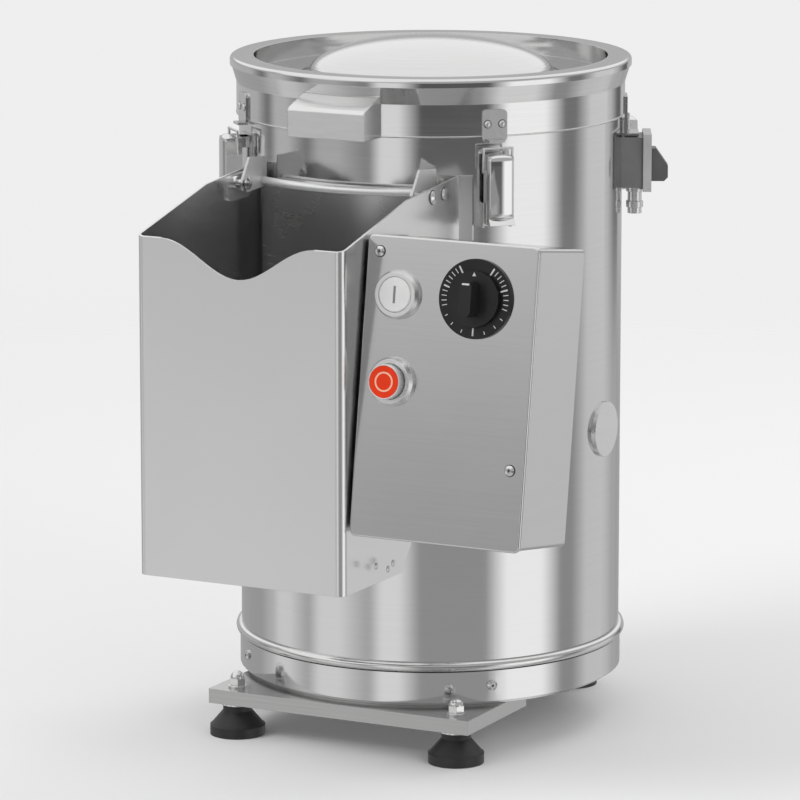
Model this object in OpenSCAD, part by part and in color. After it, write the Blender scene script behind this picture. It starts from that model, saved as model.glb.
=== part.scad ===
// Electric potato peeler: a stainless drum on a low stand, with a clamped lid, a discharge chute at the
// front and a leaning control box beside it. Millimetres, +Z up, front towards -Y, feet on Z = 0.

/* [Drum] */
// Outer diameter of the drum
drum_d = 250; // [248:1:254]
// Drum wall thickness
drum_t = 1.5; // [1:0.1:2]
// Height of the drum
drum_h = 385; // [382:1:390]
// Height of the motor room below the chamber floor
motor_room_h = 188.5; // [186:0.5:191]
// Thickness of the chamber floor
floor_t = 2; // [1.5:0.1:3]
// Thickness of the abrasive wall lining
lining_t = 3; // [2:0.5:4]
// Height of the abrasive wall lining
lining_h = 168; // [150:1:172]
// Height of the collar round the foot of the drum
collar_h = 26.5; // [24:0.5:30]
// Sheet thickness of the collar
collar_t = 1; // [0.8:0.1:1.5]
// Height of the rolled bead at the top of the collar
collar_bead_h = 5; // [4:0.5:6]
// Diameter of the blanking plug on the right side
plug_d = 36; // [32:1:38]

/* [Stand] */
// Diameter of a foot's pad
foot_d = 36; // [32:1:40]
// Height of a foot below the rail's edge
foot_h = 21.5; // [20:0.5:26]
// Diameter of a foot's neck
foot_neck_d = 19; // [16:1:20]
// Distance of the front feet from the drum axis, sideways
front_foot_x = 79.5; // [76:0.5:82]
// Distance of the front feet from the drum axis, forward
front_foot_y = 121.5; // [119:0.5:124]
// Distance of the rear feet from the drum axis, sideways
rear_foot_x = 57; // [54:0.5:58]
// Distance of the rear feet from the drum axis, backward
rear_foot_y = 98.5; // [96:0.5:99.5]
// Reach of a rail beyond its feet, sideways
rail_edge = 14.5; // [13:0.5:17]
// Reach of a rail beyond its feet, at its folded edge
rail_lip = 12.5; // [11:0.5:16]
// Height of the rails
rail_h = 9.5; // [8:0.5:12]
// Sheet thickness of the rails
rail_t = 2; // [1.5:0.1:3]
// Front to back depth of the front rail
front_rail_depth = 86; // [80:1:92]
// Front to back depth of the rear rail
rear_rail_depth = 50; // [46:1:56]
// Thickness of the base plate
base_t = 2.5; // [2:0.1:3.5]
// Thread diameter of the foot studs
stud_d = 6; // [5:0.5:6.5]

/* [Lid] */
// Sheet thickness of the lid
lid_t = 1.2; // [1:0.1:1.4]
// Length of drum covered by the lid's skirt
lid_overlap = 19; // [18:0.5:21]
// Radial clearance between skirt and drum
lid_gap = 0.4; // [0.3:0.1:0.6]
// Height of the skirt
skirt_h = 21; // [20:0.5:23]
// Height of the cone under the brim
cone_h = 11; // [10:0.5:13]
// Outward run of the cone
cone_out = 3.4; // [2.4:0.2:4]
// Height of the rounded brim
brim_h = 5.5; // [4.5:0.5:7]
// Width of the flat brim
brim_w = 14.3; // [13:0.1:16]
// Depth of the dish below the brim
dish_depth = 12; // [10:0.5:12.5]
// Radius of the dome in the lid
dome_r = 80; // [74:1:86]
// Height of the dome above the dish
dome_h = 23.5; // [20:0.5:26]
// Width of the finger grip on the skirt
grip_w = 54; // [48:1:60]
// Reach of the finger grip from the skirt
grip_reach = 20.7; // [18:0.5:24]
// Height of the finger grip at its front
grip_h = 19; // [17:0.5:20]

/* [Latches] */
// Width of a latch lever
lever_w = 16.5; // [15.5:0.5:17.5]
// Length of a lever below its pivot
lever_len = 40; // [36:1:42]
// Sheet thickness of a lever
lever_t = 1.2; // [1:0.1:1.3]
// Distance of a lever's face from the drum
lever_reach = 16; // [15.5:0.5:17.5]
// Wire diameter of a bail
bail_d = 1.8; // [1.6:0.1:2]

/* [Discharge] */
// Outer width of the chute
chute_w = 144; // [140:1:145]
// Distance of the chute's front from the drum axis
chute_front = 262; // [258:1:270]
// Height of the chute's lower edge
chute_low = 136; // [130:1:142]
// Height of the chute's front edge
chute_high = 349.6; // [344:0.4:354]
// Sheet thickness of the chute
chute_t = 1.5; // [1.2:0.1:2]
// Outer bend radius of the chute's corners
chute_bend = 5.5; // [4:0.5:7]
// Depth of the dip in the chute's front edge
dip_depth = 22.3; // [16:0.5:26]
// Width of the dip in the chute's front edge
dip_w = 106; // [90:1:116]
// Distance of the discharge port from the chute's side
port_side = 22; // [21:0.5:24]
// Height of the discharge port
port_h = 124; // [118:1:126]
// Height of the discharge door below its hinge
door_h = 134; // [130:1:136]
// Sheet thickness of the door
door_t = 1.5; // [1.2:0.1:2]
// Diameter of the rolled bead along the door's top
bead_d = 4.6; // [4:0.2:5.4]
// Diameter of a hinge pin
rod_d = 4; // [3:0.5:4.5]

/* [Control box] */
// Width of the control box
box_w = 113; // [110:1:120]
// Height of the control panel
box_h = 182.5; // [178:0.5:190]
// Depth of the control box
box_d = 67.5; // [62:0.5:72]
// Lean of the panel in degrees
box_lean = 8.5; // [6:0.5:10]
// Sheet thickness of the box
box_t = 1.2; // [1:0.1:1.5]
// Thickness of the front panel
panel_t = 2; // [1.5:0.1:2.5]
// Gap between chute and control box
box_gap = 3; // [2.5:0.5:4]
// Outer diameter of a button's bezel
bezel_d = 30; // [28:0.5:32]
// Diameter of a button's cap
cap_d = 21.4; // [20:0.2:24]
// Travel of a button
button_travel = 3; // [2:0.5:3]
// Diameter of the timer's dial plate
dial_d = 48.5; // [45:0.5:54]
// Diameter of the timer knob's skirt
knob_d = 34; // [30:1:38]

/* [Hidden] */
$fn = 96;
core_fn = 360;
over = 1;
run_fit = 0.05;
drum_r = drum_d / 2;
drum_in = drum_r - drum_t;
rail_z = foot_h;
base_z = rail_z + rail_h;
drum_z = base_z + base_t;
drum_top = drum_z + drum_h;
floor_z = drum_z + motor_room_h;
chamber_z = floor_z + floor_t;

foot_r = foot_d / 2;
foot_rim_h = 6;
foot_flare_h = 16;
foot_top = base_z - rail_t;
stud_r = stud_d / 2;
stud_low = foot_h / 2;
washer_r = 6;
washer_t = 1.2;
nut_r = 5.6;
nut_dome_r = 4.6;
nut_h = 5;

base_in = drum_in - base_t;
base_r = (drum_in + base_in) / 2;
base_rim_share = 0.6;
screw_up_share = 0.4;
base_rim_h = collar_h * base_rim_share;
collar_r = drum_r + collar_t;
collar_screw_z = drum_z + collar_h * screw_up_share;
collar_screw_r = 2;
collar_head_r = 3.4;
collar_head_h = 2;
collar_tail = 2;
screw_angles = [45, 135, 225, 315];

plug_angle = 91;
plug_up = 165.5;
plug_z = drum_z + plug_up;
plug_t = 2;
plug_lip = 3;
plug_r = plug_d / 2;
plug_neck_r = plug_r - plug_lip;

lid_z = drum_top - lid_overlap;
skirt_in = drum_r + lid_gap;
skirt_r = skirt_in + lid_t;
skirt_top = lid_z + skirt_h;
cone_r = skirt_r + cone_out;
cone_z = skirt_top + cone_h;
brim_lip = 0.8;
rim_r = cone_r + brim_lip;
rim_round = 2.4;
rim_steps = 6;
lid_top = cone_z + brim_h;
brim_in = rim_r - brim_w;
dish_z = lid_top - dish_depth;
dish_r = skirt_in - run_fit;
dome_foot = 5;
dome_steps = 24;
seal_gap = 0.3;
seal_w = 8;
grip_slope = 6.5;
grip_t = 1.2;
grip_nose = 2;

keeper_t = 1.5;
keeper_drop = 3;
keeper_h = 20.5;
keeper_round = 3;
lip_t = 1.6;
lip_reach = 4.4;
rivet_r = 1.3;
rivet_head_r = 2.3;
rivet_h = 1.1;
rivet_in = 3.4;
rivet_up = 8.5;
pivot_drop = 14;
pivot_z = lid_z - pivot_drop;
pivot_back = 6.5;
pivot_r = 1.5;
pivot_fit = 0.08;
lever_x = drum_r + lever_reach;
pivot_x = lever_x - pivot_back;
lever_above = 3;
lever_depth = 10.5;
lever_half = lever_w / 2;
lever_in = lever_half - lever_t;
tip_h = 4;
tip_out = 3;
ear_gap = 0.35;
ear_t = 1.2;
ear_r = 3.4;
ear_half = lever_in - ear_gap;
latch_t = 1.5;
latch_w = 20.5;
latch_up = 5;
latch_down = 2.5;
latch_x = drum_r + latch_t;
guard_h = 16;
guard_reach = 7;
guard_t = 1.2;
bail_r = bail_d / 2;
bail_drop = 7;
bail_back = 0.9;
bail_rise = 14.7;
bail_lean = 0.6;
bail_gap = 0.3;
bail_y = lever_half + bail_gap + bail_r;
bail_end = ear_half + bail_gap;
bail_x = pivot_x - bail_back;
bail_z = pivot_z - bail_drop;

port_t = 1.5;
port_deep = 4;
port_up = 18;
port_z0 = chamber_z + port_up;
port_z1 = port_z0 + port_h;
port_front = drum_r + port_deep;
port_seal_t = 2;
port_seal_w = 5;
port_w = chute_w - 2 * port_side;
port_half = port_w / 2 + port_t;
door_gap = 0.3;
door_side = 9.75;
door_half = port_half + door_side;
door_lip = 6.5;
bead_r = bead_d / 2;
rod_r = rod_d / 2;
rod_fit = 0.1;
rod_head_r = 4.2;
rod_head_h = 2.4;
rod_nut_r = 4;
rod_nut_h = 3;
rod_gap = 0.3;
seal_front = port_front + port_seal_t;
door_r = seal_front + door_gap;
hinge_out = 16;
hinge_y = drum_r + hinge_out;
hinge_rise = 1;
hinge_z = port_z1 + hinge_rise;
flap_ear_r = 6;
flap_ear_low = 5;
flap_ear_top = 13.8;
flap_ear_peak = 16;
flap_ear_peak_back = 4;
flap_ear_turn = 146.5;
flap_ear_back = hinge_y - sqrt(door_r * door_r - door_half * door_half) + door_t;
magnet_w = 16;
magnet_h = 6;
magnet_x = 30;

chute_half = chute_w / 2;
chute_in = chute_half - chute_t;
chute_seat = sqrt(drum_r * drum_r - chute_half * chute_half);
wall_rise_y = 174;
wall_rise_up = 20.4;
wall_back_up = 25.9;
wall_rise_z = chute_high + wall_rise_up;
wall_back_z = chute_high + wall_back_up;
wall_corner_y = 183;
wall_foot_z = port_z0 - magnet_h;
dip_side = -1;
dip_steps = 24;
flange_w = 7;
flange_up = 28;
flange_z = port_z0 + flange_up;
latch_least = 45;
latch_clear = 2.8;
latch_edge_angle = atan(latch_w / 2 / latch_x);
latch_angle = max(latch_least,
  asin((chute_half + flange_w + latch_clear) / latch_x) + latch_edge_angle);
latch_angles = [latch_angle, -latch_angle, 180 - latch_angle, latch_angle - 180];
bracket_t = 1.5;
bracket_front = 8;
bracket_back = 22;
bracket_down = 12;
bracket_up = 4.5;
bracket_round = 4;
bracket_h = bracket_down + bracket_up;
wall_rivet_back = 15.5;
wall_rivet_head_r = 3.6;
wall_rivet_h = 1.6;

box_x = chute_half + box_gap;
box_front = 231.5;
box_top = 356.3;
box_round = 3;
lug_w = 12;
lug_d = 7;
panel_screw_side = 8.6;
panel_screw_at = [[7.6, 9], [box_w - panel_screw_side, 134.2]];
panel_screw_r = 1.6;
panel_head_r = 3.2;
panel_head_h = 1.6;
button_share = 0.1929;
dial_share = 0.6584;
start_at = [box_w * button_share, 34.4];
stop_at = [box_w * button_share, 87.3];
dial_at = [box_w * dial_share, 33];
bezel_r = bezel_d / 2;
bezel_t = 5;
bezel_slope = 1.5;
bezel_floor = 0.8;
barrel_r = 11;
barrel_len = 14;
ring_nut_r = 13.8;
ring_nut_h = 4;
cap_r = cap_d / 2;
cap_gap = 0.25;
cap_rest = 0.3;
cap_edge = 0.6;
cap_back = bezel_floor + button_travel + cap_rest;
stem_r = 7;
stem_fit = 0.1;
stem_short = 0.5;
stem_end = barrel_len - button_travel - stem_short;
start_proud = 5.6;
stop_proud = 12;
contact_w = 20;
contact_h = 30;
contact_d = 24;
dial_t = 2;
knob_t = 3;
knob_gap = 0.3;
grip_bar_w = 8;
grip_bar_l = 22;
grip_bar_h = 11;
timer_stem_r = 3;
timer_stem_in = 10;
timer_w = 44;
timer_d = 34;
bolt_at = [[22, 40], [48, 40], [22, 140], [48, 140]];
bolt_r = 2.5;
bolt_head_r = 4.5;
bolt_head_h = 2;
bolt_nut_h = 3;
spacer_r = 6;
conduit_r = 12;
conduit_t = 1.5;
conduit_in = 15;
conduit_x = box_x + conduit_in;
conduit_down = 158;
conduit_z = box_top - conduit_down * cos(box_lean) - box_d * sin(box_lean);
conduit_flange_r = 14;
conduit_flange_t = 2;

switch_angle = 116;
switch_drop = 48.5;
switch_z = lid_z - switch_drop;
switch_d = 13.4;
switch_h = 33;
switch_w = 26;
switch_x = drum_r + switch_d;
cover_w = 30;
cover_t = 5.4;
cover_edge = 2.3;
wedge_w = 12;
wedge_d = 11;
wedge_h = 21.5;
wedge_up = 3.5;
wedge_edge = 2.5;
wedge_top_d = 3;
wedge_side_h = 10;
gland_r = 4.5;
gland_len = 18;
gland_in = 5;
tongue_w = 20;
tongue_t = 1.5;
tongue_reach = 9;
tongue_gap = 1;
tongue_up = 11;

spindle_r = 6;
bearing_r = 16;
bearing_w = 10;
housing_r = 22;
housing_h = 34;
housing_flange_r = 34;
housing_flange_t = 4;
seal_r = 11;
plate_drop = 36;
plate_t = 4;
plate_r = 58;
plate_hole_r = 9;
pillar_r = 5;
pillar_at = 46;
plate_z = floor_z - plate_drop - plate_t;
gearbox_r = 36;
gearbox_h = 26;
motor_r = 52;
motor_h = 66;
motor_rib_t = 3;
motor_rib_out = 2.5;
motor_ribs = 8;
spindle_in = 20;
disc_gap = 1.5;
disc_r = drum_in - lining_t - disc_gap;
disc_up = 4;
disc_z = chamber_z + disc_up;
disc_t = 8;
disc_skin = 2;
hub_r = 15;
hub_drop = 2;
ridge_r = 16;
ridge_h = 6;
ridge_start = 28;
ridge_len = 78;
ridges = 3;
lining_up = 14;
lining_z = chamber_z + lining_up;
drain_y = 88;
drain_drop = 32;
drain_z = floor_z - drain_drop;
drain_r = 13;
drain_t = 1.5;
drain_end = 160;
drain_hose_r = 12.5;
drain_flange_r = 18;
drain_flange_t = 2.5;
inlet_angle = 180;
inlet_drop = 38;
inlet_z = drum_top - inlet_drop;
inlet_r = 6.5;
inlet_neck_r = 6;
inlet_bore_r = 4.5;
inlet_len = 26;
inlet_flange_r = 12;
inlet_flange_t = 3;
lead_angle = 200;
lead_up = 40;
lead_z = drum_z + lead_up;
lead_r = 9;
lead_neck_r = 7;
lead_bore_r = 4;
lead_mouth_r = 4.6;
lead_len = 18;
lead_tail = 5;
lead_flange_r = 12;
lead_flange_t = 3;

shift_x = (rim_r - box_x - box_w) / 2;
shift_y = (chute_front - drain_end) / 2;

// Everything is drawn about the drum axis, then moved so that the object's middle is at the origin
module placed() translate([shift_x, shift_y, 0]) children();

// Local x runs straight out from the drum axis, at an angle from the front towards the right side
module outward(angle) rotate([0, 0, angle - 90]) children();

// Local z runs straight out through the drum wall, at an angle and a height
module at_wall(angle, z) outward(angle) translate([0, 0, z]) rotate([0, 90, 0]) children();

// Local x runs right across the panel, y down it and z into the box
module on_panel() translate([box_x, -box_front, box_top]) rotate([-90 - box_lean, 0, 0]) children();

module tube(r, inner, h) difference() {
  cylinder(h = h, r = r);
  translate([0, 0, -over]) cylinder(h = h + 2 * over, r = inner);
}

module round_rect(w, h, r) {
  translate([r, 0]) square([w - 2 * r, h]);
  translate([0, r]) square([w, h - 2 * r]);
  for (x = [r, w - r], y = [r, h - r]) translate([x, y]) circle(r);
}

// A round bar from one point to another
module bar(p, q, r) {
  d = q - p;
  translate(p) rotate([0, acos(d[2] / norm(d)), atan2(d[1], d[0])]) cylinder(h = norm(d), r = r);
}

// A domed head with its seat at z = 0
module head(r, h) {
  cylinder(h = h / 2, r = r);
  translate([0, 0, h / 2]) cylinder(h = h / 2, r1 = r, r2 = r / 2);
}

module core(r) cylinder(h = lid_top, r = r, $fn = core_fn);

module wall_hole(r) cylinder(h = drum_r + over, r = r);

// A neck through the drum wall with a flange seated on the outside, along local z
module wall_fitting(neck_r, neck_in, flange_r, flange_t) {
  translate([0, 0, drum_in - neck_in]) cylinder(h = drum_t + neck_in, r = neck_r);
  difference() {
    cylinder(h = drum_r + flange_t, r = flange_r);
    rotate([0, 90, 0]) cylinder(h = 2 * lid_top, r = drum_r, center = true, $fn = core_fn);
  }
}

// A plate with three edges turned down, open towards the middle of the object
module rail(foot_x, foot_y, depth) {
  half = foot_x + rail_edge;
  front = foot_y + rail_lip;
  difference() {
    translate([-half, -front, rail_z]) cube([2 * half, depth, rail_h]);
    translate([rail_t - half, rail_t - front, rail_z - over])
      cube([2 * (half - rail_t), depth, rail_h - rail_t + over]);
    for (x = [-foot_x, foot_x]) translate([x, -foot_y, rail_z]) cylinder(h = rail_h + over, r = stud_r);
  }
}

module front_rail() placed() color("silver") rail(front_foot_x, front_foot_y, front_rail_depth);

module rear_rail() placed() color("silver") rotate([0, 0, 180])
  rail(rear_foot_x, rear_foot_y, rear_rail_depth);

module at_front_feet() for (x = [-front_foot_x, front_foot_x]) translate([x, -front_foot_y, 0]) children();

module at_rear_feet() for (x = [-rear_foot_x, rear_foot_x]) translate([x, rear_foot_y, 0]) children();

module foot_pad() difference() {
  rotate_extrude() polygon([
    [0, 0], [foot_r, 0], [foot_r, foot_rim_h], [foot_neck_d / 2, foot_flare_h],
    [foot_neck_d / 2, foot_top], [0, foot_top]
  ]);
  translate([0, 0, stud_low]) cylinder(h = foot_top, r = stud_r);
}

module foot_pads() placed() color("dimgray") {
  at_front_feet() foot_pad();
  at_rear_feet() foot_pad();
}

module stud(seat) translate([0, 0, stud_low]) cylinder(h = seat + washer_t + nut_h - stud_low, r = stud_r);

module foot_studs() placed() color("darkgray") {
  at_front_feet() stud(base_z);
  at_rear_feet() stud(drum_z);
}

// A washer and a closed domed nut
module dome_nut(seat) translate([0, 0, seat]) {
  tube(washer_r, stud_r, washer_t);
  translate([0, 0, washer_t]) difference() {
    union() {
      cylinder(h = nut_h, r = nut_r, $fn = 6);
      translate([0, 0, nut_h]) sphere(nut_dome_r);
    }
    translate([0, 0, -over]) cylinder(h = nut_h + over, r = stud_r);
  }
}

module foot_nuts() placed() color("gainsboro") {
  at_front_feet() dome_nut(base_z);
  at_rear_feet() dome_nut(drum_z);
}

module collar_holes() for (a = screw_angles) at_wall(a, collar_screw_z) wall_hole(collar_screw_r);

// Round plate under the drum, with a rim that stands inside the drum wall
module base_plate() placed() color("darkgray") difference() {
  rotate_extrude() polygon([
    [0, base_z], [base_r, base_z], [base_r, drum_z], [drum_in, drum_z],
    [drum_in, drum_z + base_rim_h], [base_in, drum_z + base_rim_h], [base_in, drum_z], [0, drum_z]
  ]);
  at_rear_feet() cylinder(h = drum_z + over, r = stud_r);
  collar_holes();
}

module collar_band() placed() color("silver") difference() {
  rotate_extrude() {
    translate([drum_r, drum_z]) square([collar_t, collar_h]);
    intersection() {
      translate([drum_r, drum_z + collar_h - collar_bead_h / 2]) circle(collar_bead_h / 2);
      translate([drum_r, drum_z]) square([collar_bead_h, collar_h]);
    }
  }
  collar_holes();
}

module collar_screws() placed() color("gainsboro")
  for (a = screw_angles) at_wall(a, collar_screw_z) {
    translate([0, 0, base_in - collar_tail])
      cylinder(h = collar_r - base_in + collar_tail, r = collar_screw_r);
    translate([0, 0, collar_r]) head(collar_head_r, collar_head_h);
  }

module drum_shell() placed() color("silver") difference() {
  translate([0, 0, drum_z]) tube(drum_r, drum_in, drum_h);
  translate([-port_w / 2, -drum_r - over, port_z0]) cube([port_w, drum_r, port_h]);
  at_wall(plug_angle, plug_z) wall_hole(plug_neck_r);
  at_wall(lead_angle, lead_z) wall_hole(lead_neck_r);
  at_wall(inlet_angle, inlet_z) wall_hole(inlet_neck_r);
  at_wall(inlet_angle, drain_z) wall_hole(drain_r);
  conduit_hole();
  collar_holes();
}

module chamber_floor() placed() color("gray") difference() {
  translate([0, 0, floor_z]) tube(drum_in, seal_r, floor_t);
  translate([0, drain_y, floor_z - over]) cylinder(h = floor_t + 2 * over, r = drain_r - drain_t);
}

module wall_lining() placed() color("dimgray") difference() {
  translate([0, 0, lining_z]) tube(drum_in, drum_in - lining_t, lining_h);
  translate([-port_w / 2, -drum_r - over, port_z0]) cube([port_w, drum_r, port_h]);
  at_wall(inlet_angle, inlet_z) wall_hole(inlet_neck_r);
}

module side_plug() placed() color("dimgray")
  at_wall(plug_angle, plug_z) wall_fitting(plug_neck_r, plug_lip, plug_r, plug_t);

// A frame round the discharge port, from the drum out to a radius
module port_frame(r, edge) intersection() {
  translate([-port_w / 2 - edge, -2 * drum_r, port_z0 - edge])
    cube([port_w + 2 * edge, 2 * drum_r, port_h + 2 * edge]);
  core(r);
}

module discharge_port() placed() color("silver") difference() {
  port_frame(port_front, port_t);
  port_frame(2 * drum_r, 0);
  core(drum_r);
}

module port_seal() placed() color("dimgray") difference() {
  port_frame(seal_front, port_t);
  port_frame(2 * drum_r, port_t - port_seal_w);
  core(port_front);
}

module door_magnets() placed() color("dimgray") difference() {
  intersection() {
    for (x = [-magnet_x, magnet_x])
      translate([x - magnet_w / 2, -2 * drum_r, port_z0 - port_t - magnet_h])
        cube([magnet_w, 2 * drum_r, magnet_h]);
    core(seal_front);
  }
  core(drum_r);
}

// Curved sheet with a rolled bead along its top and a lip along its foot
module door_sheet() intersection() {
  union() {
    translate([0, 0, hinge_z - door_h]) tube(door_r + door_t, door_r, port_z1 - hinge_z + door_h);
    translate([0, 0, hinge_z - door_h]) tube(door_r + door_lip, door_r, door_t);
    rotate_extrude() translate([door_r + bead_r, port_z1]) circle(bead_r);
  }
  translate([-door_half, -2 * drum_r, 0]) cube([2 * door_half, 2 * drum_r, lid_top]);
}

// Side plate of the flap, seen from the right, with its pivot at the origin
module flap_ear() difference() {
  union() {
    circle(flap_ear_r);
    polygon([
      [0, -flap_ear_r], [flap_ear_back, -flap_ear_low], [flap_ear_back, flap_ear_top],
      [flap_ear_peak_back, flap_ear_peak],
      [flap_ear_r * cos(flap_ear_turn), flap_ear_r * sin(flap_ear_turn)]
    ]);
  }
  circle(rod_r + rod_fit);
}

module discharge_door() placed() color("gray") {
  door_sheet();
  for (side = [0, 1]) mirror([side, 0, 0]) translate([door_half - door_t, -hinge_y, hinge_z])
    rotate([90, 0, 90]) linear_extrude(door_t) flap_ear();
}

module hinge_pins() placed() color("silver") for (side = [0, 1]) mirror([side, 0, 0])
  translate([0, -hinge_y, hinge_z]) rotate([0, 90, 0]) {
    low = door_half - door_t - rod_gap;
    translate([0, 0, low]) cylinder(h = chute_half - low, r = rod_r);
    translate([0, 0, low]) mirror([0, 0, 1]) head(rod_head_r, rod_head_h);
    translate([0, 0, chute_half]) head(rod_head_r, rod_head_h);
    translate([0, 0, chute_in - bracket_t - rod_nut_h]) cylinder(h = rod_nut_h, r = rod_nut_r);
  }

// Shape of the chute's side walls, seen from the right
module wall_outline() polygon([
  [-chute_front - over, chute_low], [-chute_front - over, chute_high], [-chute_front, chute_high],
  [-wall_rise_y, wall_rise_z], [-chute_seat, wall_back_z], [0, wall_back_z], [0, wall_foot_z],
  [-chute_seat, wall_foot_z], [-wall_corner_y, chute_low]
]);

// The dip follows one wave of a cosine from edge to edge
module dip_outline() polygon(concat(
  [[dip_w / 2, over], [-dip_w / 2, over]],
  [for (i = [0:dip_steps]) [
    dip_w * (i / dip_steps - 1 / 2), -dip_depth * (1 - cos(360 * i / dip_steps)) / 2
  ]]
));

module chute_holes() {
  for (y = [-hinge_y, wall_rivet_back - hinge_y]) translate([-chute_w, y, hinge_z]) rotate([0, 90, 0])
    cylinder(h = 2 * chute_w, r = rod_r);
  on_panel() for (p = bolt_at) translate([-chute_half, p[1], p[0]]) rotate([0, 90, 0])
    cylinder(h = chute_half, r = bolt_r);
}

module chute() placed() color("silver") difference() {
  union() {
    intersection() {
      linear_extrude(wall_back_z) difference() {
        translate([-chute_half, -chute_front]) round_rect(chute_w, chute_front, chute_bend);
        translate([-chute_in, chute_t - chute_front])
          round_rect(2 * chute_in, chute_front + over, chute_bend - chute_t);
      }
      translate([-chute_w, 0, 0]) rotate([90, 0, 90]) linear_extrude(2 * chute_w) wall_outline();
    }
    for (side = [0, 1]) mirror([side, 0, 0]) intersection() {
      translate([0, 0, flange_z]) tube(drum_r + chute_t, drum_r, wall_back_z - flange_z);
      translate([chute_in, -chute_front, 0]) cube([chute_t + flange_w, chute_front, wall_back_z]);
    }
  }
  translate([dip_side, chute_bend - chute_front, chute_high]) rotate([90, 0, 0])
    linear_extrude(chute_bend + over) dip_outline();
  core(drum_r);
  chute_holes();
}

// A plate on the inside of each chute wall, behind the hinge pin
module hinge_plates() placed() color("gainsboro") difference() {
  for (side = [0, 1]) mirror([side, 0, 0])
    translate([chute_in - bracket_t, -hinge_y - bracket_front, hinge_z - bracket_down])
      rotate([90, 0, 90]) linear_extrude(bracket_t)
        round_rect(bracket_front + bracket_back, bracket_h, bracket_round);
  chute_holes();
}

module chute_rivets() placed() color("gainsboro")
  for (side = [0, 1]) mirror([side, 0, 0])
    translate([chute_in - bracket_t, wall_rivet_back - hinge_y, hinge_z]) rotate([0, 90, 0]) {
      cylinder(h = bracket_t + chute_t, r = rod_r);
      translate([0, 0, bracket_t + chute_t]) head(wall_rivet_head_r, wall_rivet_h);
      mirror([0, 0, 1]) head(wall_rivet_head_r, wall_rivet_h);
    }

module conduit_hole() translate([conduit_x, 0, conduit_z]) rotate([90, 0, 0])
  cylinder(h = box_front, r = conduit_r - conduit_t);

module at_screws() for (p = panel_screw_at) translate([p[0], p[1], 0]) children();

module at_buttons() for (p = [start_at, stop_at]) translate([p[0], p[1], 0]) children();

module at_dial() translate([dial_at[0], dial_at[1], 0]) children();

module at_bolts() for (p = bolt_at) translate([0, p[1], p[0]]) rotate([0, 90, 0]) children();

module control_box() placed() color("lightgray") difference() {
  on_panel() difference() {
    union() {
      difference() {
        translate([0, 0, panel_t]) linear_extrude(box_d - panel_t) round_rect(box_w, box_h, box_round);
        translate([box_t, box_t, panel_t - over]) linear_extrude(box_d - panel_t - box_t + over)
          round_rect(box_w - 2 * box_t, box_h - 2 * box_t, box_round - box_t);
      }
      translate([box_t, box_t, panel_t]) cube([lug_w, lug_w, lug_d]);
      translate([box_w - box_t - lug_w, panel_screw_at[1][1] - lug_w / 2, panel_t])
        cube([lug_w, lug_w, lug_d]);
    }
    at_screws() cylinder(h = panel_t + lug_d + over, r = panel_screw_r);
    at_bolts() cylinder(h = box_t + over, r = bolt_r);
  }
  conduit_hole();
}

module control_panel() placed() color("lightgray") on_panel() difference() {
  linear_extrude(panel_t) round_rect(box_w, box_h, box_round);
  at_buttons() translate([0, 0, -over]) cylinder(h = panel_t + 2 * over, r = barrel_r);
  at_screws() translate([0, 0, -over]) cylinder(h = panel_t + 2 * over, r = panel_screw_r);
  at_dial() translate([0, 0, -over]) cylinder(h = panel_t + 2 * over, r = timer_stem_r + stem_fit);
}

module panel_screws() placed() color("gainsboro") on_panel() at_screws() {
  cylinder(h = panel_t + lug_d, r = panel_screw_r);
  mirror([0, 0, 1]) head(panel_head_r, panel_head_h);
}

// Bezels with their threaded barrels through the panel, and the ring nuts behind it
module button_bezels() placed() color("gainsboro") on_panel() at_buttons() {
  rotate_extrude() polygon([
    [stem_r + stem_fit, -bezel_floor], [cap_r + cap_gap, -bezel_floor], [cap_r + cap_gap, -bezel_t],
    [bezel_r - bezel_slope, -bezel_t], [bezel_r, -bezel_t / 2], [bezel_r, 0], [barrel_r, 0],
    [barrel_r, barrel_len], [stem_r + stem_fit, barrel_len]
  ]);
  translate([0, 0, panel_t]) tube(ring_nut_r, barrel_r, ring_nut_h);
}

module cap(place, proud) translate([place[0], place[1], 0]) rotate_extrude() polygon([
  [0, -proud], [cap_r - cap_edge, -proud], [cap_r, cap_edge - proud], [cap_r, -cap_back],
  [stem_r, -cap_back], [stem_r, stem_end], [0, stem_end]
]);

module start_cap() placed() color("white") on_panel() cap(start_at, start_proud);

module stop_cap() placed() color("red") on_panel() cap(stop_at, stop_proud);

module contact_blocks() placed() color("dimgray") on_panel() at_buttons()
  translate([-contact_w / 2, -contact_h / 2, barrel_len]) cube([contact_w, contact_h, contact_d]);

module dial_plate() placed() color("dimgray") on_panel() at_dial() translate([0, 0, -dial_t])
  tube(dial_d / 2, timer_stem_r + stem_fit, dial_t);

module timer_body() placed() color("dimgray") on_panel() at_dial() difference() {
  translate([-timer_w / 2, -timer_w / 2, panel_t]) cube([timer_w, timer_w, timer_d]);
  cylinder(h = panel_t + timer_stem_in + over, r = timer_stem_r + stem_fit);
}

module timer_knob() placed() color("dimgray") on_panel() at_dial() {
  seat = dial_t + knob_gap;
  translate([0, 0, -seat - knob_t]) cylinder(h = knob_t, r = knob_d / 2);
  translate([0, 0, -seat]) cylinder(h = seat + panel_t + timer_stem_in, r = timer_stem_r);
  translate([-grip_bar_w / 2, -grip_bar_l / 2, -seat - knob_t - grip_bar_h])
    linear_extrude(grip_bar_h) round_rect(grip_bar_w, grip_bar_l, grip_bar_w / 2 - run_fit);
}

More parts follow.
